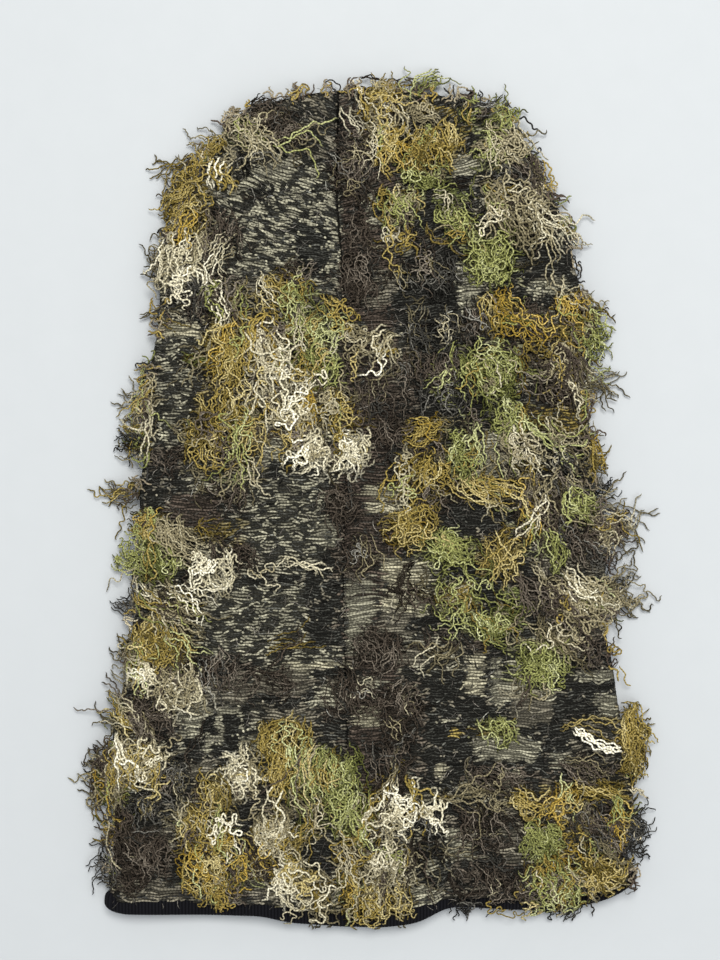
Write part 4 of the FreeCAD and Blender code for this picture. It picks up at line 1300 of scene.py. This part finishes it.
def edge_yarn():
    """Short strands that hang out of both side edges and the crown."""
    outline = outline_points()
    outline = outline[outline[:, 1] > MOUTH_Y + 12]
    locks = EDGE_LOCKS
    lock = np.repeat(np.arange(locks), 2)
    count = len(lock)
    place = outline[rng.integers(0, len(outline), locks)]
    out = place - np.column_stack([np.full(locks, CENTRE_X), np.minimum(place[:, 1], CROWN_MIDDLE_Y)])
    flow = np.arctan2(out[:, 1], out[:, 0])
    flow = np.where(place[:, 1] > 150, flow, flow - 0.75 * np.sign(out[:, 0])) + rng.normal(0, 0.35, locks)
    length = rng.uniform(8, 17, locks)[lock] * rng.uniform(0.8, 1.1, count)
    spots = place + 1.2 * np.column_stack([np.cos(flow), np.sin(flow)])
    plain = np.zeros(locks, bool)
    curl, lift = rng.uniform(0.9, 1.6, locks), rng.uniform(2, 5, locks)
    lines, _ = strand_lines(EDGE_POINTS, spots, flow, length, curl, lift, plain, lock)
    radius = YARN_RADIUS * rng.uniform(0.75, 1.05, count)
    values = mixed_values(lock, locks, count)
    return tube_mesh("edge_yarn", lines, radius, values, FLOATS, sides=6, ply=0.13, ends=20)


def under_yarn():
    """Strands pressed flat between the hood and the table."""
    locks = UNDER_LOCKS
    lock = np.repeat(np.arange(locks), 3)
    count = len(lock)
    spots = np.column_stack([rng.uniform(-100, 105, 4 * locks), rng.uniform(-165, 165, 4 * locks)])
    away = np.abs(spots[:, 1] - (FOLD_START_Y + FOLD_END_Y) / 2) > 27
    spots = spots[away & (on_grid(DISTANCE, spots[:, 0], spots[:, 1]) > 16)][:locks]
    flow = rng.normal(-math.pi / 2, 0.7, locks)
    length = rng.uniform(14, 26, locks)[lock] * rng.uniform(0.8, 1.1, count)
    plain, curl = np.zeros(locks, bool), rng.uniform(0.8, 1.4, locks)
    lines, _ = strand_lines(EDGE_POINTS, spots, flow, length, curl, np.full(locks, 0.1), plain, lock)
    phase = rng.uniform(0, 6, (count, 1))
    lines[:, :, 2] = 1.25 + 0.6 * np.sin(np.linspace(0, 7, EDGE_POINTS)[None, :] + phase)
    values = mixed_values(lock, locks, count)
    return tube_mesh("under_yarn", lines, np.full(count, 0.4), values, FLOATS, ends=20, open_side=-1)


for strands, nodes, slot in (
    (edge_yarn(), ("fringe_upper", "fringe_lower"), "mixed_yarn"),
    (under_yarn(), ("under_tufts_upper", "under_tufts_lower"), "flattened_yarn"),
):
    bend(strands)
    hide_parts(*nodes)

# ------------------------------------------------------------------ hem stitches


def hem_stitches():
    """Short stitches of black thread that hold the turned rib, front and back."""
    maker = np.random.default_rng(61)
    t = np.linspace(0, 1, 8)[None, :]
    start = np.arange(CENTRE_X - HEM_HALF + 5, CENTRE_X + HEM_HALF - 6, 3.1)[:, None]
    x = start + 2.3 * t
    y = np.repeat(MOUTH_Y + 8.6 + 0.25 * maker.normal(size=start.shape), t.size, axis=1)
    place = y + mouth_shift(x, y)
    distance = np.maximum(on_grid(DISTANCE, x, place), 0)
    bow = 0.9 * np.sin(math.pi * t) - 0.35
    back = np.stack([x, place, back_height(x, place, distance) + bow], axis=2)
    front = np.stack([x, place, front_height(x, place, distance) - bow], axis=2)
    lines = np.concatenate([back, front])
    return tube_mesh("hem_stitches", lines, np.full(len(lines), 0.32), {}, THREAD, ends=6)


stitches = hem_stitches()
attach(stitches, NECK)
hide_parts("hem_stitching")

# ------------------------------------------------------------------ loose fibres

FIBRES = 3600
FIBRE_COLOUR = np.array([0.085, 0.078, 0.066])


def loose_fibres():
    """Fine hairs that stand out from the knitting all over."""
    maker = np.random.default_rng(71)
    count = FIBRES
    t = np.linspace(0, 1, 5)[None, :]
    x0 = maker.uniform(CENTRE_X - HEM_HALF, CENTRE_X + HEM_HALF, (count, 1))
    y0 = maker.uniform(MOUTH_Y + 4, crown_y - 1, (count, 1))
    inside = on_grid(DISTANCE, x0, y0)[:, 0] > 1.0
    x0, y0 = x0[inside], y0[inside]
    count = len(x0)
    heading = maker.uniform(0, 2 * math.pi, (count, 1)) + maker.normal(0, 1.3, (count, 1)) * t
    step = maker.uniform(2.5, 7, (count, 1)) / 4
    x = x0 + np.cumsum(np.cos(heading) * step, axis=1)
    y = y0 + np.cumsum(np.sin(heading) * step, axis=1)
    z = ground_height(x, y) + 0.7 + maker.uniform(0.1, 1.6, (count, 1)) * np.sin(math.pi * t)
    tint = FIBRE_COLOUR * maker.lognormal(0, 0.7, (count, 1))
    values = {"accent": np.clip(tint, 0.01, 0.5), "tone": np.full(count, 0.7)}
    radius = maker.uniform(0.11, 0.2, count)
    return tube_mesh("loose_fibres", np.stack([x, y, z], axis=2), radius, values, FLOATS, ends=4)


fibres = loose_fibres()
bend(fibres)

# ------------------------------------------------------------------ seams keep their CAD shape

for node in ("centre_seam_upper", "centre_seam_lower", "crown_dart_back", "crown_dart_front",
             "crown_dart_left", "crown_dart_right"):
    thing = frame["nodes"][node]
    thing.data.materials.clear()
    thing.data.materials.append(THREAD)

# ------------------------------------------------------------------ floor, light and camera

FLOOR_HALF = 2500.0


def floor_material():
    """Pale matt paper."""
    n = Nodes("floor_paper")
    grain = n.noise(n.place(), 60.0, 4.0, 0.6)
    n.join(n.mix(grain, (0.525, 0.55, 0.565), (0.55, 0.575, 0.59)), n.shader.inputs["Base Color"])
    n.shader.inputs["Roughness"].default_value = 0.7
    n.bump(grain, 0.05, 0.0005)
    return n.material


corners = [(x * FLOOR_HALF, y * FLOOR_HALF, 0) for x, y in ((-1, -1), (1, -1), (1, 1), (-1, 1))]
floor = make_object("floor", corners, [[0, 1, 2, 3]], floor_material())


def area_light(name, place, size, power, colour):
    """A round light, in metres and watts, that faces the middle of the hood."""
    light = bpy.data.lights.new(name, "AREA")
    light.shape = "DISK"
    light.size = size
    light.energy = power
    light.color = colour
    thing = bpy.data.objects.new(name, light)
    bpy.context.scene.collection.objects.link(thing)
    thing.location = place
    thing.rotation_euler = (-Vector(place)).to_track_quat("-Z", "Y").to_euler()


area_light("key", (0.1, 0.55, 1.5), 0.7, 20, (1.0, 0.985, 0.95))
area_light("fill", (0.7, -0.6, 1.4), 1.2, 5, (0.96, 0.98, 1.0))
world = bpy.data.worlds.new("studio")
world.use_nodes = True
sky = world.node_tree.nodes["Background"]
sky.inputs["Color"].default_value = (0.96, 0.98, 1.0, 1)
sky.inputs["Strength"].default_value = 0.60
scene = bpy.context.scene
scene.world = world
scene.view_settings.view_transform = "Standard"
scene.view_settings.look = "None"

# straight down on the hood; FIELD is how much of the picture's height shows at the level of the knitting
FIELD, FIELD_Z = 434.4, 12
CAMERA_X, CAMERA_Y, CAMERA_Z = -2.3, 10.0, 760.0
SENSOR = 36.0
camera_data = bpy.data.cameras.new("camera")
camera = bpy.data.objects.new("camera", camera_data)
scene.collection.objects.link(camera)
camera.location = (CAMERA_X * MM, CAMERA_Y * MM, CAMERA_Z * MM)
camera_data.lens = SENSOR * (CAMERA_Z - FIELD_Z) / FIELD
camera_data.sensor_width = SENSOR
camera_data.clip_start = 0.01
camera_data.clip_end = 50
scene.camera = camera
